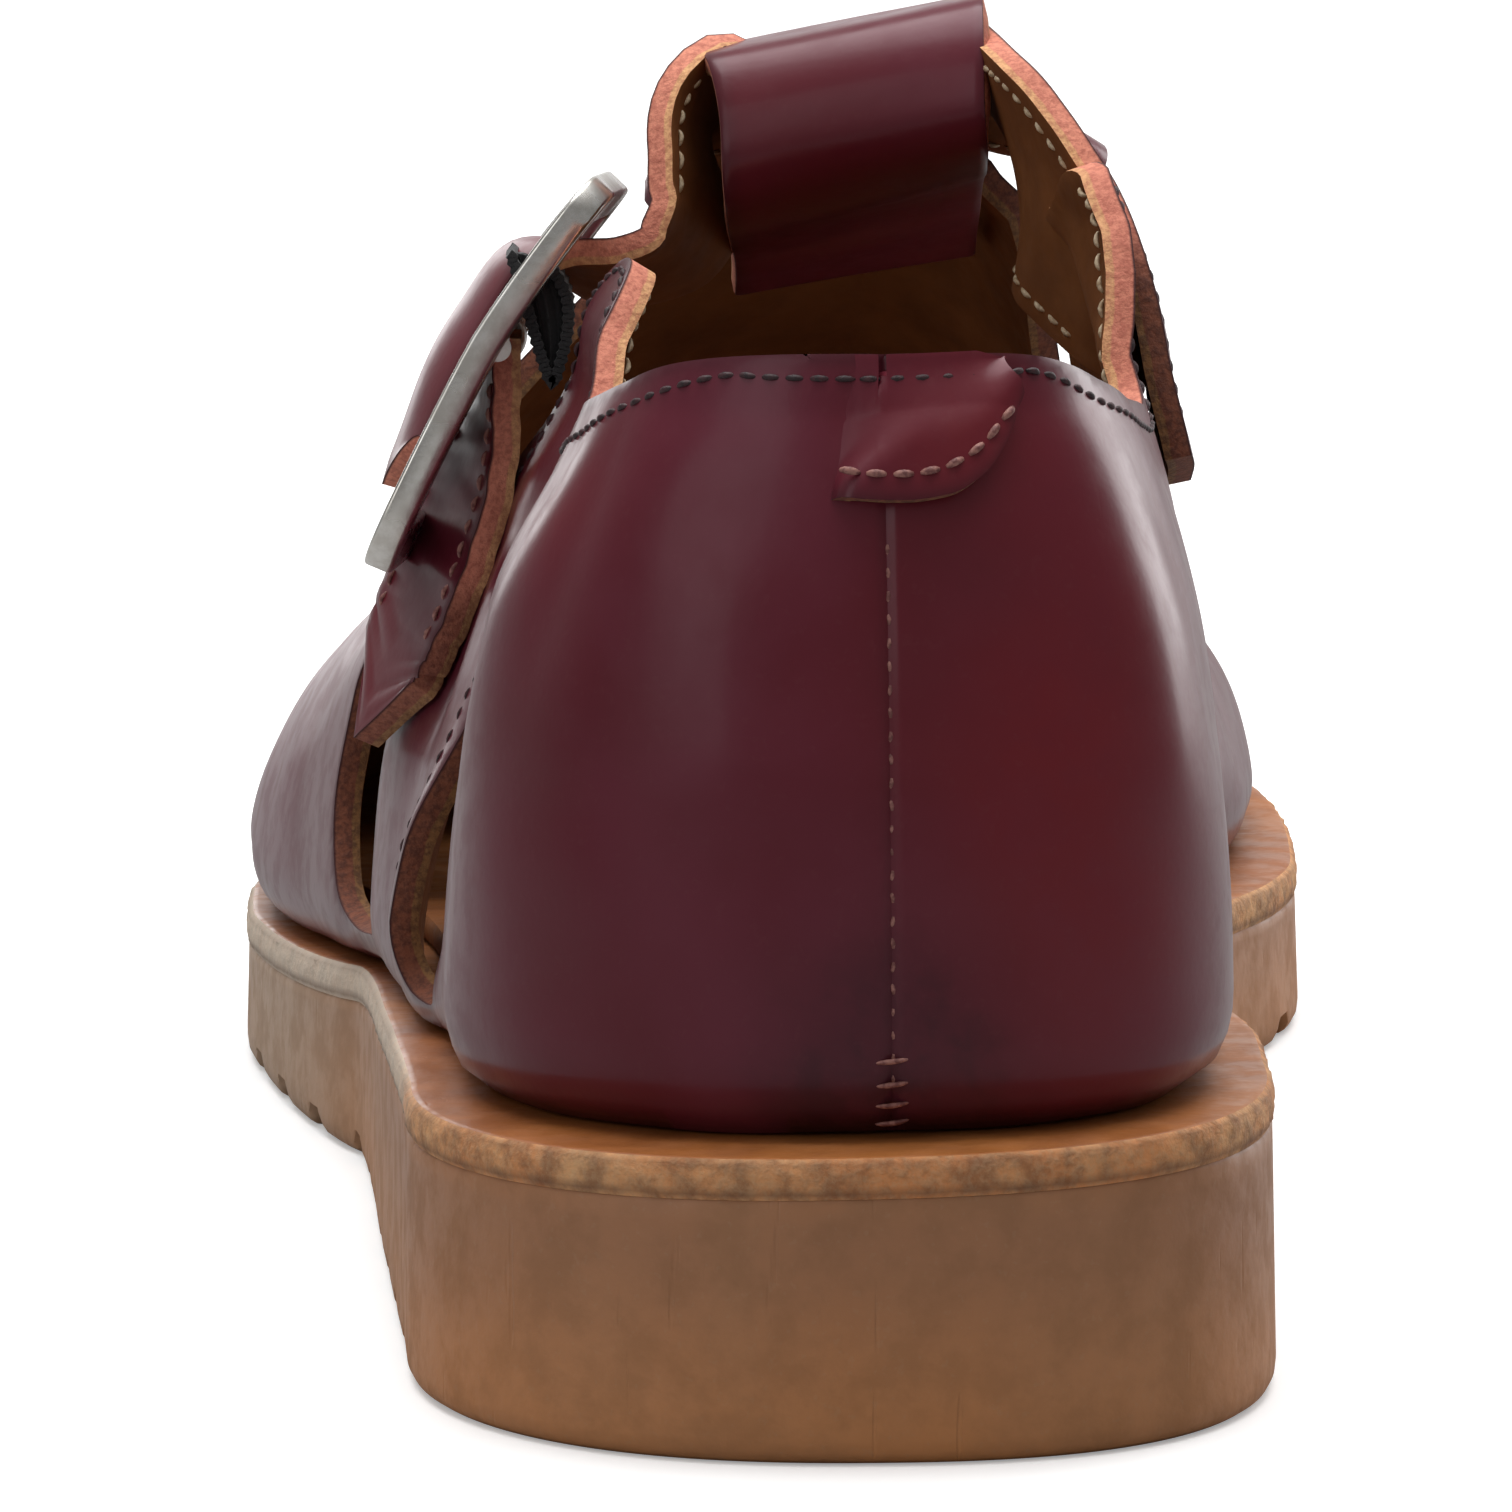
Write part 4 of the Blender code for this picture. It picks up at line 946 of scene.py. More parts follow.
# %% Wear of the upper
SMUDGES = [  # x, y, z, radius, strength of dirt
    (5.5, 12, 36, 9, 0.9), (4.5, 14, 52, 6, 0.6), (8, 13, 30, 8, 0.7), (1, 12, 30, 7, 0.6), (6, 14, 64, 5, 0.45),
    (11, 14, 72, 6, 0.35), (-3, 12, 27, 6, 0.4), (-28, 60, 30, 9, 0.5), (30, 60, 28, 8, 0.4), (-36, 100, 28, 10, 0.4)]
WARM = [  # x, y, z, radius, strength of rubbed red
    (14, 14, 60, 14, 0.75), (20, 18, 44, 14, 0.7), (12, 13, 84, 9, 0.8), (-22, 34, 76, 9, 0.5), (24, 26, 66, 12, 0.4),
    (14, 14, 34, 10, 0.5)]


def spots_mask(points, table):
    total = np.zeros(len(points))
    for x, y, z, radius, strength in table:
        total += strength * np.exp(-(((points - (x, y, z))**2).sum(1)) / radius**2)
    return total


paint(upper, np.c_[spots_mask(spots, SMUDGES), spots_mask(spots, WARM), np.exp(-(to_cut / 1.1)**2)])
stain_and_shade_edge(upper, np.clip(ease(spots[:, 1], 62, 70) * (1 - ease(spots[:, 2], 76, 84)) + ease(spots[:, 1], 110, 122), 0, 1))
thicken(upper, WALL, -1.0)
# A corner of the heel's rim that thickening threw up is laid back among its neighbours.
spots = positions(upper)
choose(upper, "VERT", (spots[:, 2] > 90.35) & (spots[:, 1] < 30))
bpy.ops.mesh.vertices_smooth(factor=1.0, repeat=2)
bpy.ops.object.mode_set(mode="OBJECT")
soften(upper, 0.45, 2, 55)
smoothed(upper, 42)
dress(upper, "upper", slot="upper_leather")

# %% [markdown]
# ## The sole in three layers
# Rubber, leather midsole and insole share one outline, so one helper makes all three: rings of that outline,
# each with its own inset and height, stacked like the layers of a cake and closed along the middle line. The
# tread is a lift of the lower rings between the ribs. A curve could be extruded instead, but an extrusion has one
# height, and this sole is a wedge that leans to the outer side and turns up at the toe.

# %% Rings of the outline
def layer(name, line, rings, finishes, ys):
    """Closed rings of a plan line: (inset, share of half width, height function, slot of the faces above)."""
    sides = {}
    for side in (OUTER, INNER):
        pts = np.stack([side_x(ys, line, side), ys], axis=1)
        along = np.gradient(pts, axis=0)
        out = np.stack([along[:, 1], -along[:, 0]], axis=1) * side
        out[0], out[-1] = (0, -1), (0, 1)
        sides[side] = (pts, out / np.linalg.norm(out, axis=1, keepdims=True))
    rows = []
    for inset, share, height, _ in rings:
        loop = []
        left, right = (sides[s][0] - sides[s][1] * inset for s in (OUTER, INNER))
        middle = (left[:, 0] + right[:, 0]) / 2
        for pts in (left, right[::-1]):
            centre = middle if pts is left else middle[::-1]
            x = centre + (pts[:, 0] - centre) * share
            loop.append(np.c_[x, pts[:, 1], height(x, pts[:, 1])])
        loop = np.vstack(loop)
        rows.append(np.vstack([loop, loop[:1]]))
    obj = laid(name, np.array(rows), finishes)
    slots = np.repeat([r[3] for r in rings[:-1]], len(rows[0]) - 1)
    obj.data.polygons.foreach_set("material_index", slots.astype(np.int32))
    weld(obj)
    return outwards(obj)


GROOVES = 50 + 15.8 * np.arange(15)  # y of the grooves across the tread
GROOVE_DEPTH = 2.6


def tread(x, y):
    """Underside of the rubber: the floor line, lifted between the ribs."""
    near_one = np.asarray(y)[..., None] - GROOVES
    lift = np.clip(np.minimum((near_one + 3.2) / 2.0, (3.6 - near_one) / 1.2), 0, 1).max(axis=-1)
    return rubber_floor(x, y) + GROOVE_DEPTH * lift


def over_tread(height):
    return lambda x, y: np.maximum(tread(x, y), rubber_floor(x, y) + height)


def over(base, lift):
    """A height function that stays a fixed lift over another one."""
    return lambda x, y: base(x, y) + lift


# %% Outsole, midsole and insole
fine = np.unique(np.round(np.r_[stations("rim", 40, 170, 50),
                                (GROOVES[:, None] + (-3.2, -1.2, 2.4, 3.6)).ravel()], 4))
SHOULDER = 2.2  # height at which the outsole's wall starts over its rounded foot
wall_rings = [(0.0, 1, over_tread(SHOULDER), 0)]
for share in np.linspace(0.15, 0.9, 9):
    wall_rings.append((0.3 * share, 1, lambda x, y, s=share: SHOULDER + rubber_floor(x, y)
                       + (rubber_top(x, y) - SHOULDER - rubber_floor(x, y)) * s, 0))
outsole = layer("dressed_outsole", "rim", [
    (4.0, 0.0, tread, 0), (4.0, 0.7, tread, 0), (4.0, 1, tread, 0), (1.7, 1, tread, 0), (1.1, 1, over_tread(0.12), 0),
    (0.5, 1, over_tread(0.5), 0), (0.12, 1, over_tread(1.2), 0), *wall_rings,
    (0.3, 1, over(rubber_top, -0.3), 0), (0.5, 1, rubber_top, 0), (4.0, 1, rubber_top, 0),
    (4.0, 0.0, rubber_top, 0)], [RUBBER], fine)
smoothed(outsole, 38)
dress(outsole, "outsole", slot="rubber")

plain = stations("rim", 60, 260, 70)
TOP, SIDE = 0, 1  # the midsole's two finishes
midsole = layer("dressed_midsole", "rim", [
    (4.0, 0.0, over(rubber_top, 0.02), SIDE), (4.0, 1, over(rubber_top, 0.02), SIDE),
    (0.45, 1, over(rubber_top, 0.02), SIDE), (0.22, 1, over(rubber_top, GAP + 0.2), SIDE),
    (0.15, 1, over(rubber_top, GAP + 0.9), SIDE), (0.12, 1, over(rubber_top, GAP + 1.5), SIDE),
    (0.18, 1, over(rubber_top, GAP + 2.1), SIDE), (0.30, 1, over(seat, -GAP - 0.5), SIDE),
    (0.75, 1, over(seat, -GAP - 0.08), TOP), (1.3, 1, over(seat, -GAP), TOP), (5.0, 1, over(seat, -GAP), TOP),
    (9.0, 1, over(seat, -GAP), TOP), (9.0, 0.0, over(seat, -GAP), TOP)], [TAN_TOP, MIDSOLE_EDGE], plain)
mid_spots = positions(midsole)
rng = np.random.default_rng(7)
phase = rng.uniform(0, 6.28, 8)
rough = sum(np.sin(mid_spots[:, 1] * f + mid_spots[:, 0] * f * 0.8 + mid_spots[:, 2] * 2.3 + phase[k])
            for k, f in enumerate((0.9, 1.7, 2.9, 4.1))) * 0.045
away = np.array([v.normal[:] for v in midsole.data.vertices])
on_edge = np.abs(away[:, 2]) < 0.75
mid_spots[on_edge] += away[on_edge] * rough[on_edge, None]
midsole.data.vertices.foreach_set("co", metres(mid_spots).reshape(-1))
from_top = mid_spots[:, 2] - seat(mid_spots[:, 0], mid_spots[:, 1]) + GAP
# Towards the toe on the outer side the edge is painted paler: a painted highlight for the glare on that flank.
pale = ease(-mid_spots[:, 0], 20, 40) * ease(mid_spots[:, 1], 30, 60)
brow = 0.75 * np.exp(-((from_top + 0.15) / 0.35)**2) + 0.8 * ease(-from_top, 2.6, 3.3)
paint(midsole, np.c_[brow * on_edge, pale, np.zeros(len(mid_spots))])
smoothed(midsole, 50)
dress(midsole, "midsole", slot="midsole_leather")

FLOOR_INSIDE = WALL + GAP  # the insole's underside over the seat
insole = layer("dressed_insole", "feather", [
    (2.4, 0.0, over(seat, FLOOR_INSIDE), 0), (2.4, 1, over(seat, FLOOR_INSIDE), 0),
    (2.1, 1, over(seat, FLOOR_INSIDE + 0.4), 0), (2.0, 1, over(seat, FLOOR_INSIDE + 2.0), 0),
    (2.3, 1, over(seat, FLOOR_INSIDE + INSOLE), 0),
    *((6, share, over(seat, FLOOR_INSIDE + INSOLE), 0) for share in (1, 0.66, 0.33, 0.0))],
               [LINING], stations("feather", 40, 140, 40))
smoothed(insole, 40)
dress(insole, "insole", slot="lining_leather")

# %% [markdown]
# ## Straps
# A strap is a ribbon along a path. At each station the path gives its width, the way it faces, how it leans
# towards the toe and how far its edges hug the foot. The fine ribbon follows its solid, and only its edges are
# bent further, as worn leather is. A bevelled curve could make a strap too, but it twists where the path turns
# sharply, and a table of stations doesn't.

# %% A ribbon's surface
def ribbon(rows, count, across, point):
    """Points and outward directions of a ribbon through rows of x, y, z, width, facing angle, lean and cup."""
    path = curve_through(rows, count)
    step = np.linalg.norm(path[1, :3] - path[0, :3])
    along = path[np.minimum(np.arange(count) + 1, count - 1), :3] - path[np.maximum(np.arange(count) - 1, 0), :3]
    along /= np.linalg.norm(along, axis=1, keepdims=True)
    face = np.radians(path[:, 4])
    out = np.stack([np.cos(face), path[:, 5], np.sin(face)], axis=1)
    out -= along * (out * along).sum(1, keepdims=True)
    out /= np.linalg.norm(out, axis=1, keepdims=True)
    over = np.cross(along, out)
    left = (count - 1 - np.arange(count)) * step
    back = point * np.maximum(0, 1 - left / (2.6 * point))**2
    s = np.linspace(-1, 1, across + 1)[None, :, None]
    surface = (path[:, None, :3] + over[:, None] * s * path[:, None, 3:4] / 2
               - along[:, None] * (back[:, None, None] * np.abs(s)) - out[:, None] * path[:, None, 6:7] * s * s)
    return surface, out


def strip(name, surface, out, thickness, stands_for, stain_and_shade):
    """A strap from its surface: waves too small for the solid, thickness, rounded edge."""
    rows, columns = surface.shape[:2]
    a, b = np.meshgrid(np.arange(columns) / columns, np.arange(rows) / rows)
    wave = 0.07 * np.sin(b * 47 + a * 5) + 0.05 * np.sin(b * 83 + 1.3)
    obj = laid(name, surface + out[:, None] * wave[..., None], [BURGUNDY, CUT_EDGE, LINING])
    normals = np.array([p.normal[:] for p in obj.data.polygons]).reshape(rows - 1, columns - 1, 3)
    if (normals * out[:-1, None]).sum() < 0:
        flipped(obj)
    rim = np.minimum(np.minimum(a, 1 - a) * columns, np.minimum(b, 1 - b) * rows)
    paint(obj, np.c_[np.zeros(rows * columns), 0.25 + 0.2 * np.sin(b * 9).ravel(), np.exp(-(rim / 1.2)**2).ravel()])
    stain_and_shade_edge(obj, np.repeat(stain_and_shade, columns))
    thicken(obj, thickness, 0.0)
    soften(obj, 0.45, 2, 50)
    smoothed(obj, 40)
    dress(obj, stands_for, slot="upper_leather")


# %% Ankle strap
def from_rear(x, y, z, width, face, lean, cup):
    """A station of a ribbon given by its rear edge instead of its middle."""
    over = np.array((-lean * math.cos(math.radians(face)), 1, -lean * math.sin(math.radians(face))))
    return (*(np.array((x, y, z)) + over / np.linalg.norm(over) * width / 2), width, face, lean, cup)


ON_QUARTER = [  # u, z, width, facing angle, lean, cup, gap from the last
    (0.241, 73.4, 18.5, 12, 0.0, 0.2, 2.0), (0.246, 80.0, 19, 13, 0.0, 0.2, 2.0),
    (0.256, 87.0, 19.2, 15, 0.06, 0.3, 2.2)]
OVER_INSTEP = [  # x, y, z of the rear edge, width, facing angle, lean, cup
    (27.2, 78, 92.0, 20.4, 10, 0.34, 0.4), (25.6, 83, 97.2, 22.0, 16, 0.56, 0.6),
    (24.4, 88, 101.6, 23.4, 26, 0.6, 0.8), (22.9, 95, 105.4, 23.8, 38, 0.60, 1.0),
    (20.6, 104.4, 108.2, 23.0, 56, 0.6, 0.9), (17.0, 113, 108.6, 21.4, 76, 0.58, 0.5),
    (9.0, 116, 108.2, 18.4, 92, 0.46, 0.2), (0.0, 115, 107.5, 18.2, 97, 0.42, 0),
    (-7.6, 114, 105.7, 18.4, 104, 0.42, 0), (-11.4, 112, 104.6, 18.6, 122, 0.42, 0),
    (-13.3, 110.5, 103.3, 18.8, 142, 0.44, 0), (-14.2, 108.5, 101.2, 18.8, 166, 0.45, 0),
    (-14.6, 106.5, 98.4, 18.8, 180, 0.45, 0), (-14.6, 104.5, 95.4, 18.8, 176, 0.45, 0),
    (-15.3, 103, 93.2, 19, 152, 0.42, 0), (-17.1, 101.8, 91.7, 19, 118, 0.34, 0),
    (-20.0, 100.6, 91.1, 19, 98, 0.22, 0), (-23.4, 100, 91.2, 19, 94, 0.08, 0.2)]
THROUGH_BUCKLE = [  # x, y, z of the middle, width, facing angle, lean, cup
    (-27.7, 109.1, 89.9, 19, 128, -0.03, 1.5), (-31.9, 109.0, 84.4, 19, 150, -0.05, 1.8),
    (-35.1, 109.0, 78.3, 19, 155, -0.05, 1.8), (-37.7, 109.0, 71.7, 18, 157, -0.04, 1.5),
    (-38.6, 109.0, 68.9, 17, 160, 0.0, 1.1)]
STRAP = [(*off_last(u, INNER, z, gap), *rest) for u, z, *rest, gap in ON_QUARTER]
STRAP += [from_rear(*row) for row in OVER_INSTEP] + THROUGH_BUCKLE
strap_surface, strap_out = ribbon(STRAP, 180, 18, 5.0)
# The loop pinches the strap's rear edge forward.
pinch = 9.0 * ease(18.0 - strap_surface[..., 0], 0, 3.5) * ease(106.5 - strap_surface[..., 1], 0, 8)
pinch *= (strap_surface[..., 0] > 0) * (strap_surface[..., 2] > 88) * np.linspace(1, 0, strap_surface.shape[1])
strap_surface[..., 1] += pinch
strip("dressed_ankle_strap", strap_surface, strap_out, STRAP_THICK, "ankle_strap",
      (1 - ease(strap_surface[:, 0, 2], 90, 97)) * (strap_surface[:, 0, 0] > 0))

# %% T-bar strap
LOOP = [  # y at the outer side, y at the inner side, height at the outer side, height at the inner side
    (150, 150, 93.6, 97.4), (144.5, 144.5, 97.2, 101.8), (137, 136.4, 101.6, 107.0), (129, 127.6, 104.9, 110.4),
    (121, 117, 106.5, 112.0), (113.4, 107.4, 107.0, 112.4), (109.6, 103.2, 106.4, 111.8),
    (107.0, 100.4, 104.0, 109.4), (105.8, 98.9, 101.0, 106.2), (105.6, 98.5, 97.8, 103.2),
    (107.2, 101.0, 94.8, 100.6), (112, 107.4, 92.2, 98.4), (121, 118.4, 89.8, 96.2), (130, 129, 87.0, 92.2),
    (140, 140, 84.2, 87.8)]


def crown(x, y):
    """Height of the last above points of its plan."""
    side = side_of(x - RIDGE_X)
    u, t = land(side, PLAN, [(x, y)])
    return float(last(u, side, t)[0, 2])


TEE_LEFT, TEE_RIGHT, TEE_ROWS = -11, 15.5, 190
SEWN_DOWN = (182, 175, 168, 161, 155.5)  # y of the stations where the T-bar lies on the vamp
ON_VAMP = 2.7  # height of its middle over the last there
lines = []
for s in np.linspace(0, 1, 6):
    x = TEE_LEFT + (TEE_RIGHT - TEE_LEFT) * s
    rows = [(y, crown(x, y) + ON_VAMP) for y in SEWN_DOWN]
    rows += [(y_out + (y_in - y_out) * s, z_out + (z_in - z_out) * s) for y_out, y_in, z_out, z_in in LOOP]
    lines.append([(x, y, z) for _, y, z in curve_through([(0, y, z) for y, z in rows], TEE_ROWS)])
lines = np.array(lines)
spread_x = np.linspace(0, 5, 25)
low = np.minimum(spread_x.astype(int), 4)
share = (spread_x - low)[:, None, None]
tee_surface = (lines[low] * (1 - share) + lines[low + 1] * share).transpose(1, 0, 2)
station = np.arange(TEE_ROWS)
tuck = 1 - 0.20 * ease(station, 104, 130) - 0.08 * ease(station, 130, 180)
tee_surface[..., 0] = TEE_RIGHT + (tee_surface[..., 0] - TEE_RIGHT) * ((tuck[:, None] + 1) / 2)
tee_along = np.gradient(tee_surface[:, 12], axis=0)
tee_out = np.cross(np.tile((1.0, 0, 0), (TEE_ROWS, 1)), tee_along)
tee_out /= np.linalg.norm(tee_out, axis=1, keepdims=True)
tee_out *= np.sign(tee_out[20, 2])
strip("dressed_tee_strap", tee_surface, tee_out, TEE_THICK, "tee_strap", np.full(TEE_ROWS, 0.35))

# %% Pointed tab under the buckle, and the tab over the back seam
CHAPE = [  # x, y, z of the middle, width, facing angle, lean, cup
    (-28.0, 108.4, 83.4, 18, 155, 0.0, 0), (-29.4, 108.4, 76.0, 19, 155, -0.12, 0),
    (-31.8, 108.0, 69.0, 20, 155, -0.28, 0), (-34.8, 108.0, 61.0, 21, 155, -0.3, 0),
    (-38.0, 108.6, 53.4, 20, 155, -0.3, 0), (-41.5, 109.0, 45.4, 18, 155, -0.3, 0)]
CHAPE_ROWS = 60
chape_surface, chape_out = ribbon(CHAPE, CHAPE_ROWS, 16, 8.0)
# From row 30 to the tip the cut edge is painted brown: painted shade, as the pointed end's cut faces down.
strip("dressed_chape_tab", chape_surface, chape_out, CHAPE_THICK, "chape_tab",
      0.75 * ease(np.arange(CHAPE_ROWS), 30, 37))

HEEL_TAB = [  # signed u, height of the tab's lower edge
    (-0.030, 79.4), (-0.022, 79.0), (-0.010, 78.4), (0.006, 78.2), (0.018, 78.6), (0.028, 80.0), (0.037, 82.6),
    (0.046, 86.4)]
TAB_RIM, TAB_PROUD, TAB_ROWS = 90.2, 1.9, 26
signed = np.linspace(-0.030, 0.046, 90)
low = smooth(HEEL_TAB, 1, signed)
high = TAB_RIM - 70 * np.maximum(0, np.abs(signed) - 0.035)
rows = []
for s in np.linspace(0, 1, TAB_ROWS):
    z = low + (high - low) * s
    rise = ease(s, 0.0, 0.6)
    start, stop = -0.0135 - 0.004 * rise, -0.009 + 0.026 * rise
    proud = TAB_PROUD * (1 - 0.8 * ease(s, 0.35, 0.95)) * ease(signed, start, stop)
    gap = proud - TAB_THICK + 0.01 - 0.6 * ease(-signed, -start - 0.001, -start + 0.006)
    rows.append(np.where((signed < 0)[:, None], off_last(np.abs(signed), OUTER, z, gap),
                         off_last(np.abs(signed), INNER, z, gap)))
heel = laid("dressed_heel_tab", np.array(rows), [BURGUNDY, CUT_EDGE, LINING])
if sum(p.normal.y for p in heel.data.polygons) > 0:
    flipped(heel)
tab_spots = positions(heel)
paint(heel, np.c_[spots_mask(tab_spots, SMUDGES), spots_mask(tab_spots, WARM),
                  np.exp(-(tab_spots[:, 2] - np.tile(low, TAB_ROWS))**2)])
stain_and_shade_edge(heel, np.ones(len(tab_spots)))
thicken(heel, TAB_THICK, 1.0)
soften(heel, 0.5, 3, 50)
smoothed(heel, 40)
dress(heel, "heel_tab", slot="upper_leather")

# %% [markdown]
# ## The buckle
# The buckle is a bowed nickel frame with a centre bar and a prong. The frame is a band swept round a rounded
# rectangle that lies on a shallow arc, with its corners bevelled as a cast and polished frame has them. It could
# be cut from a block with a Boolean, but the sweep keeps even faces, and on those the bevel stays even too.

# %% Buckle frame and centre bar
FRAME_TOP, FRAME_MID, FRAME_END = np.array(((-19.4, 97.6), (-30.0, 83.4), (-40.4, 62.8)))  # x and z
FRAME_Y, FRAME_WIDTH, BAR, BAR_DEPTH, CORNER = 109.0, 29.0, 4.2, 2.7, 5.0
FRAME_TWIST = 0.09  # how much each millimetre of width leans the frame
CENTRE_BAR = 1.25  # radius


def frame_point(p, q, lift=0.0):
    """Point of the bowed frame: p from -1 at the top bar to 1 at the lower bar, q across in millimetres."""
    bow = FRAME_MID - (FRAME_TOP + FRAME_END) / 2
    slope = (FRAME_END - FRAME_TOP) / 2 - 2 * bow * p
    out = np.array([slope[1], -slope[0]]) / np.linalg.norm(slope)
    lift = lift - FRAME_TWIST * (q + FRAME_WIDTH / 2)
    arc, kink = 1 - p * p, 1 - (math.sqrt(p * p + 0.0025) - 0.05) / 0.951
    bend = (arc + kink) / 2
    spot = (FRAME_TOP + FRAME_END) / 2 + (FRAME_END - FRAME_TOP) / 2 * p + bow * bend + out * lift
    return spot[0], FRAME_Y + q, spot[1]


half, length = FRAME_WIDTH / 2, math.dist(FRAME_TOP, FRAME_END) / 2
loops = []
for radius in (CORNER, CORNER - BAR):
    loop = []
    for corner, (sp, sq) in enumerate(((-1, -1), (-1, 1), (1, 1), (1, -1))):
        for a in np.linspace(0, math.pi / 2, 9):
            c, s = (math.sin(a), math.cos(a)) if corner % 2 == 0 else (math.cos(a), math.sin(a))
            loop.append((sp * (1 + (radius * c - CORNER) / length), sq * (half - CORNER + radius * s)))
    filled = []
    for n, (p, q) in enumerate(loop):
        nxt = loop[(n + 1) % len(loop)]
        steps = 14 if n % 9 == 8 else 1
        filled += [(p + (nxt[0] - p) * k / steps, q + (nxt[1] - q) * k / steps) for k in range(steps)]
    loops.append(filled + filled[:1])
outer, inner = loops
band = [[frame_point(p, q, lift * BAR_DEPTH / 2) for p, q in loop]
        for loop, lift in ((outer, -1), (outer, 1), (inner, 1), (inner, -1), (outer, -1))]
buckle = outwards(weld(laid("dressed_buckle_frame", np.array(band), [NICKEL])))
soften(buckle, 0.4, 3, 40)
bpy.ops.object.select_all(action="DESELECT")
spin = frame_point(0, 0)
bpy.ops.mesh.primitive_cylinder_add(vertices=24, radius=CENTRE_BAR * MM, depth=(FRAME_WIDTH - 2 * BAR + 1.5) * MM,
                                    location=metres(spin), rotation=(math.pi / 2, 0, 0))
bar = bpy.context.object
bar.data.materials.append(NICKEL)
bpy.ops.object.transform_apply(location=True, rotation=True, scale=True)
joined(buckle, bar)
smoothed(buckle, 35)
dress(buckle, "buckle_frame", slot="buckle_metal")

# %% Prong
PRONG = [frame_point(share, 0, lift)  # share of the frame's length, height over it
         for share, lift in ((-0.10, 0.2), (-0.28, 1.1), (-0.5, 1.3), (-0.75, 1.2), (-0.97, 1.1))]
PRONG_ROWS, PRONG_TIP, PRONG_RADIUS = 40, 8, 0.8


def tube(path, radii, turns):
    """Rings round a path in the plane across the buckle."""
    along = np.gradient(path, axis=0)
    along /= np.linalg.norm(along, axis=1, keepdims=True)
    side = np.stack([along[:, 2], np.zeros(len(path)), -along[:, 0]], axis=1)
    angle = np.linspace(0, 2 * math.pi, turns + 1)
    return (path[:, None] + (side[:, None] * np.cos(angle)[None, :, None]
                             + np.array((0, 1.0, 0)) * np.sin(angle)[None, :, None]) * radii[:, None, None])


path = curve_through(PRONG, PRONG_ROWS)
radii = np.full(PRONG_ROWS, PRONG_RADIUS)
radii[-PRONG_TIP:] *= np.sqrt(np.clip(1 - (np.arange(PRONG_TIP) / (PRONG_TIP - 0.7))**2, 0.02, 1))
prong = outwards(weld(laid("dressed_prong", tube(path, radii, 16), [NICKEL])))
modifier(prong, "SUBSURF", levels=1, render_levels=1)
bpy.ops.object.select_all(action="DESELECT")
bpy.ops.mesh.primitive_torus_add(major_radius=1.95 * MM, minor_radius=0.62 * MM, major_segments=28,
                                 minor_segments=12, location=metres(spin), rotation=(math.pi / 2, 0, 0))
curl = bpy.context.object
curl.data.materials.append(NICKEL)
bpy.ops.object.transform_apply(location=True, rotation=True, scale=True)
joined(prong, curl)
smoothed(prong, 60)
dress(prong, "prong", slot="buckle_metal")

# %% Elastic behind the buckle
ELASTIC_FOLD = [  # x and z down the front leaf, round the fold and up the rear leaf
    (-27.6, 91.4), (-26.9, 89.2), (-26.2, 86.6), (-25.3, 83.2), (-24.4, 80.4), (-23.9, 79.6), (-23.3, 81.2),
    (-22.6, 84.0), (-22.5, 86.8), (-23.3, 89.0), (-24.8, 91.0)]
ELASTIC_ROWS, RIBS, SHADE_SHEET_Y = 121, 30, 98.2
ELASTIC_REAR, ELASTIC_FRONT = 96.6, 104.1
path = curve_through([(x, 0, z) for x, z in ELASTIC_FOLD], ELASTIC_ROWS)
normal = np.gradient(path, axis=0)
normal = np.stack([normal[:, 2], np.zeros(ELASTIC_ROWS), -normal[:, 0]], axis=1)
normal /= np.linalg.norm(normal, axis=1, keepdims=True)
bands = []
for y in np.linspace(ELASTIC_REAR, ELASTIC_FRONT, 17):
    rib = 0.16 * np.cos(np.arange(ELASTIC_ROWS) * 2 * math.pi * RIBS / (ELASTIC_ROWS - 1))
    swell = 1.0 if abs(y - (ELASTIC_REAR + ELASTIC_FRONT) / 2) > 3.2 else 0.35
    bands.append(path * (1, 0, 1) + (0, y, 0) + normal * (rib * swell)[:, None])
# A sheet of black elastic closes the loop's channel just inside its rear end: painted shade, so the inside of the
# loop reads dark.
shade_sheet = [[path[k] * (1 - s) + path[-1 - k] * s + (0, SHADE_SHEET_Y + 0.5 * math.sin(s * 9), 0)
        for k in range(ELASTIC_ROWS // 2 + 1)] for s in np.linspace(0, 1, 9)]
elastic_loop = thicken(laid("dressed_elastic_loop", np.array(bands), [ELASTIC_WEB]), 0.9, 0.0, 0, 0)
joined(elastic_loop, thicken(laid("elastic_shade_sheet", np.array(shade_sheet), [ELASTIC_WEB]), 0.4, 0.0, 0, 0))
soften(elastic_loop, 0.2, 2, 60)
smoothed(elastic_loop, 50)
dress(elastic_loop, "elastic_loop", slot="black_elastic")

# %% [markdown]
# ## Stitching
# A lockstitch shows as a row of short threads, each pulled down into its two holes. One stitch is modelled from a
# small ball, stretched and bent, and then copied between every pair of holes along a seam. Dark thread holds the
# collar, faded thread the tab over the back seam, cream thread the lining. An Array modifier along a curve could
# place the copies, but each stitch has to lie on the slope of the leather below it, so the Array only makes them
# and their vertices are then laid from hole to hole.

# %% One stitch and a row of them
def small_ball(name):
    bpy.ops.object.select_all(action="DESELECT")
    bpy.ops.mesh.primitive_uv_sphere_add(segments=6, ring_count=6, radius=1, calc_uvs=False)
    obj = bpy.context.object
    obj.name = obj.data.name = name
    return obj


pattern = small_ball("stitch")
BALL = np.array([v.co[:] for v in pattern.data.vertices])[:, (2, 0, 1)]
bpy.data.objects.remove(pattern)


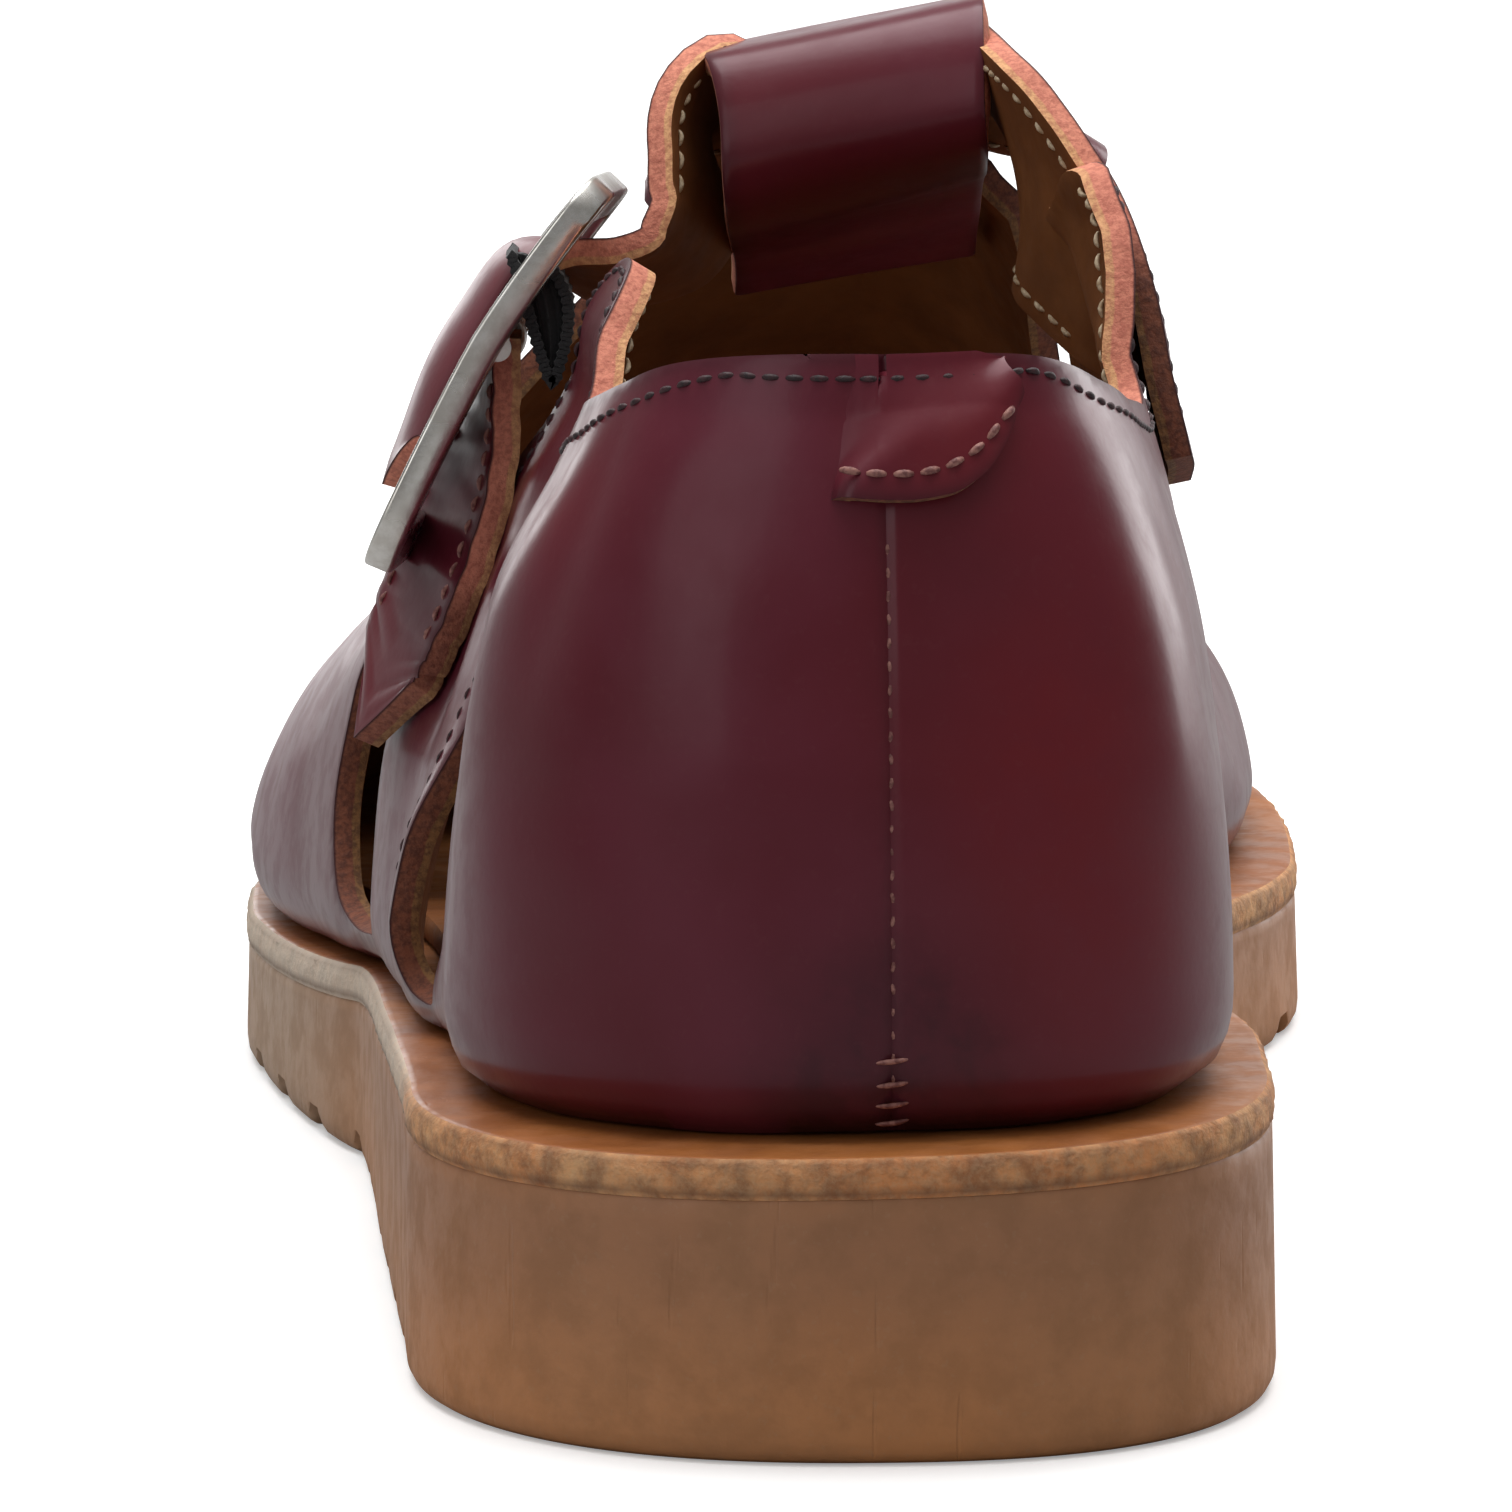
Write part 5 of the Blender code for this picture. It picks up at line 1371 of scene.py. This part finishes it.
def sew(name, rows, thread_finish, width, cover=0.80, lift=0.12):
    """Rows of holes as (points, outward directions); a stitch covers a share of the way between two holes."""
    verts = []
    for holes, out in rows:
        start, stop = holes[:-1], holes[1:]
        along = stop - start
        size = np.linalg.norm(along, axis=1, keepdims=True)
        along = along / size
        up = out[:-1] + out[1:]
        up -= along * (up * along).sum(1, keepdims=True)
        up /= np.linalg.norm(up, axis=1, keepdims=True)
        across = np.cross(along, up)
        sag = (BALL[:, 0]**2) * width * 0.45
        for k in range(len(start)):
            shape = BALL * (size[k, 0] * cover / 2, width / 2, width * 0.42)
            middle = (start[k] + stop[k]) / 2 + up[k] * lift
            verts.append(middle + np.outer(shape[:, 0], along[k]) + np.outer(shape[:, 1], across[k])
                         + np.outer(shape[:, 2] - sag, up[k]))
    obj = modifier(small_ball(name), "ARRAY", count=len(verts), use_relative_offset=False)
    obj.data.vertices.foreach_set("co", metres(np.vstack(verts)).reshape(-1))
    obj.data.update()
    obj.data.materials.append(thread_finish)
    outwards(obj)
    smoothed(obj, 80)
    dress(obj, slot="upper_leather")


PITCH_OF_STITCH = 2.1
GRID_PLACE, GRID_OUT = place.reshape(-1, 3), out.reshape(-1, 3)
on_upper = np.flatnonzero(kept.ravel())
finder = nearest_of(GRID_PLACE[on_upper], on_upper)


def snapped(points, off=0.0):
    """Points moved onto the dressed upper, standing off it, with its outward directions."""
    spots_on, normals = [], []
    for p in points:
        found = finder.find_n(p, 3)
        weights = np.array([1 / (f[2] + 0.05) for f in found])
        weights /= weights.sum()
        n = sum(w * GRID_OUT[f[1]] for w, f in zip(weights, found))
        n /= np.linalg.norm(n)
        q = np.array(found[0][0])
        spots_on.append(p - n * np.dot(p - q, n) + n * off)
        normals.append(n)
    return np.array(spots_on), np.array(normals)


def walk(points, pitch=PITCH_OF_STITCH):
    """Holes at an even pitch along a line of points."""
    run = np.linalg.norm(np.diff(points, axis=0), axis=1).sum()
    return curve_through(points, max(3, int(run / pitch) + 1))


# %% Rows beside the openings
def beside(line, inset, side, lowest, reach):
    """A line in the side view moved away from its opening, and laid on the last."""
    flat_line = curve_through([(a, b, 0) for a, b in line], 160)[:, :2]
    step = np.gradient(flat_line, axis=0)
    step /= np.linalg.norm(step, axis=1, keepdims=True)
    moved = flat_line + np.stack([step[:, 1], -step[:, 0]], axis=1) * inset
    moved = moved[(moved[:, 0] > reach[0]) & (moved[:, 0] < reach[1]) & (moved[:, 1] > lowest)]
    u, t = land(side, SIDE_VIEW, moved)
    return last(u, side, t)


FROM_RIM = 2.3  # distance of the collar's row from the cut
back_row = np.array([at_signed(u, 90.5 - FROM_RIM, 0.0) for u in np.linspace(-0.062, 0.062, 40)])
left_row = beside(COLLAR[OUTER], FROM_RIM, OUTER, 60, (26, 102))
right_row = beside(COLLAR[INNER], FROM_RIM, INNER, 60, (26, 80))
collar_line = walk(np.vstack([left_row[::-1], back_row, right_row])[::3])
holes, up = snapped(collar_line, 0.05)
on_tab = ease(holes[:, 0], 0.5, 3.5) * (1 - ease(holes[:, 0], 14.0, 17.5)) * (holes[:, 1] < 40)
holes += up * (on_tab * 0.45)[:, None]
sew("collar_stitches", [(holes, up)], DARK_THREAD, 0.62, 0.86, 0.05)
inside_holes, inside_up = snapped(collar_line, -WALL - 0.05)
sew("lining_stitches", [(inside_holes, -inside_up)], CREAM_THREAD, 0.6)

slit_rows = []
for side in (OUTER, INNER):
    ring = closed([(y + (3.0 if y > 73.6 else -3.0) * (z < 52), z + 3.4 * (z > 49)) for y, z in SLIT], 90)
    ring = ring[ring[:, 1] > 31]
    first = int(np.argmax(np.linalg.norm(np.diff(ring, axis=0), axis=1)))
    ring = np.roll(ring, -(first + 1), axis=0) if np.linalg.norm(ring[first + 1] - ring[first]) > 4 else ring
    u, t = land(side, SIDE_VIEW, ring)
    slit_rows.append(snapped(walk(last(u, side, t)[::2]), 0.03))
sew("slit_stitches", slit_rows, DARK_THREAD, 0.45, 0.8, 0.0)

# %% Rows of the tab, the back seam and the straps
TAB_ROW = np.array([  # signed u, distance from the tab's lower edge
    (-0.0135, 2.1), (-0.006, 2.0), (0.002, 2.0), (0.010, 2.0), (0.018, 2.1), (0.026, 2.1), (0.031, 2.0),
    (0.0355, 1.8), (0.039, 1.4), (0.042, 0.6)])
tab_u = TAB_ROW[:, 0]
tab_z = smooth(HEEL_TAB, 1, tab_u) + TAB_ROW[:, 1]
tab_holes = walk(np.array([at_signed(u, z, 1.98) for u, z in zip(tab_u, tab_z)]), 2.2)
share = np.linspace(0, 1, len(tab_holes)) * (len(tab_u) - 1)
tab_up = []
for u, z in zip(np.interp(share, np.arange(len(tab_u)), tab_u), np.interp(share, np.arange(len(tab_u)), tab_z)):
    side, u = side_of(u), abs(u)
    tab_up.append(outward(np.array(max(u, 5e-4)), side, at_height(u, side, z)))
tab_up = np.array(tab_up)
sew("tab_stitches", [(tab_holes, tab_up)], PINK_THREAD, 0.72, 0.84)

seam_points = [off_last(0.0004 + 0.0006 * math.sin(z * 1.7), INNER, z, -0.12) for z in np.arange(30.0, 77.5, 1.9)]
seam_rows = [snapped(seam_points, -0.18)]
for z in (27.0, 28.6, 30.4, 32.4):  # cross stitches at the foot of the seam
    seam_rows.append(snapped([off_last(0.006, OUTER, z, 0), off_last(0.006, INNER, z + 0.5, 0)], 0.02))
sew("back_seam_stitches", seam_rows, PINK_THREAD, 0.5, 0.72, 0.05)


def strap_rows(surface, out_row, thickness, inset, first, final, inner=False):
    """Two rows of holes, one beside each edge of a strap, on its outer or inner face."""
    rows = []
    count, columns = surface.shape[:2]
    width = np.linalg.norm(surface[:, -1] - surface[:, 0], axis=1)
    for share in (inset / width, 1 - inset / width):
        at = share * (columns - 1)
        k = np.clip(at.astype(int), 0, columns - 2)
        part, every = (at - k)[:, None], np.arange(count)
        line = (surface[every, k] * (1 - part) + surface[every, k + 1] * part)[first:final]
        direction = out_row[first:final] * (-1 if inner else 1)
        run = np.r_[0, np.cumsum(np.linalg.norm(np.diff(line, axis=0), axis=1))]
        marks = np.arange(0, run[-1], PITCH_OF_STITCH)
        holes = np.stack([np.interp(marks, run, line[:, c]) for c in range(3)], axis=1)
        up = np.stack([np.interp(marks, run, direction[:, c]) for c in range(3)], axis=1)
        up /= np.linalg.norm(up, axis=1, keepdims=True)
        rows.append((holes + up * (thickness / 2 + 0.03), up))
    return rows


sew("strap_stitches", strap_rows(strap_surface, strap_out, STRAP_THICK, 2.6, 4, 128), DARK_THREAD, 0.42, 0.8, -0.07)
sew("strap_lining_stitches", strap_rows(strap_surface, strap_out, STRAP_THICK, 2.0, 30, 128, True), CREAM_THREAD,
    0.55)
sew("chape_stitches", strap_rows(chape_surface, chape_out, CHAPE_THICK, 2.3, 6, 48), PINK_THREAD, 0.6)

# %% [markdown]
# ## Floor, light and camera
# A plain pale floor, a bright background beyond the toe, a soft lamp on the left beside the camera, one lamp on
# each side beyond the toe and a large one overhead. The polished leather so stays dark in the middle and shows pale
# reflections along its flanks. A picture of a room could light it too, but lamps can be moved one by one until
# each reflection sits right. The camera looks from behind the heel, a little from above, with a long lens.

# %% Studio
bpy.ops.object.select_all(action="DESELECT")
bpy.ops.mesh.primitive_plane_add(size=14, location=(0, 0, 0))
floor = bpy.context.object
floor.name = "studio_floor"
# The paper looks white, but is darker for every other ray, so its glare doesn't fog the polished leather.
floor_finish, tree, shader, _ = finish("studio_paper", 0.85)
seen = tree.nodes.new("ShaderNodeLightPath").outputs["Is Camera Ray"]
tree.links.new(blend(tree, seen, (0.34, 0.34, 0.34), (0.86, 0.86, 0.86)), shader.inputs["Base Color"])
tree.links.new(maths(tree, "MULTIPLY", seen, 0.30), shader.inputs["Emission Strength"])
shader.inputs["Emission Color"].default_value = (1.0, 1.0, 1.0, 1)
floor.data.materials.append(floor_finish)
floor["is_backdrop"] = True

world = bpy.data.worlds.new("studio")
bpy.context.scene.world = world
world.use_nodes = True
bpy.context.scene.view_settings.view_transform = "Standard"
sky = world.node_tree
toward = node(sky, "ShaderNodeSeparateXYZ", {0: sky.nodes.new("ShaderNodeTexCoord").outputs["Generated"]}).outputs
behind = ramp(sky, toward[1], 0.86, 0.995, 0.25, 0.9)
overhead = ramp(sky, toward[2], 0.55, 0.95, 0.0, 0.5)
glow = maths(sky, "MINIMUM", maths(sky, "ADD", behind, overhead), 1.0)
sky.links.new(glow, sky.nodes["Background"].inputs[1])
sky.nodes["Background"].inputs[0].default_value = (1.0, 1.0, 1.0, 1)


LAMPS = [  # name, place, point that it looks at, width and height, brightness of its face
    ("left_softbox", (-1.25, -1.05, 0.75), (0, -0.1, 0.05), (0.8, 1.1), 1.1),
    ("right_rim", (1.2, 1.3, 0.5), (0, -0.05, 0.05), (0.8, 1.0), 3.4),
    ("left_rim", (-0.45, 1.7, 0.4), (0, -0.05, 0.05), (0.5, 0.9), 1.6),
    ("top_softbox", (0.0, 0.3, 1.5), (0, 0, 0.05), (1.6, 1.4), 4.0)]
for name, spot, aim, size, glow in LAMPS:
    bpy.ops.object.light_add(type="AREA", location=spot)
    lamp = bpy.context.object
    lamp.name = name
    lamp.data.shape = "RECTANGLE"
    lamp.data.size, lamp.data.size_y = size
    lamp.data.energy = glow * math.pi * size[0] * size[1]
    lamp.rotation_euler = (Vector(aim) - Vector(spot)).to_track_quat("-Z", "Y").to_euler()
print("lamps:", len(LAMPS))

# %% Camera
CAMERA_PLACE = (-0.013594, -0.985772, 0.178434)
CAMERA_TURN = (81.88302, 0.42708, -0.69212)  # degrees about X, Y and Z
FILM, LENS = 36, 247.554  # millimetres
camera = bpy.data.objects.new("camera", bpy.data.cameras.new("camera"))
bpy.context.scene.collection.objects.link(camera)
camera.location = CAMERA_PLACE
camera.rotation_euler = [math.radians(angle) for angle in CAMERA_TURN]
camera.data.sensor_width, camera.data.lens = FILM, LENS
camera.data.clip_end = 50
bpy.context.scene.camera = camera
print("camera:", LENS, "mm lens")

# %% [markdown]
# ## The box of the dressed sandal
# The dressed sandal has to stay as large as its solids, so its box is measured.

# %% Sizes and end
bpy.context.view_layer.update()
low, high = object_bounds()
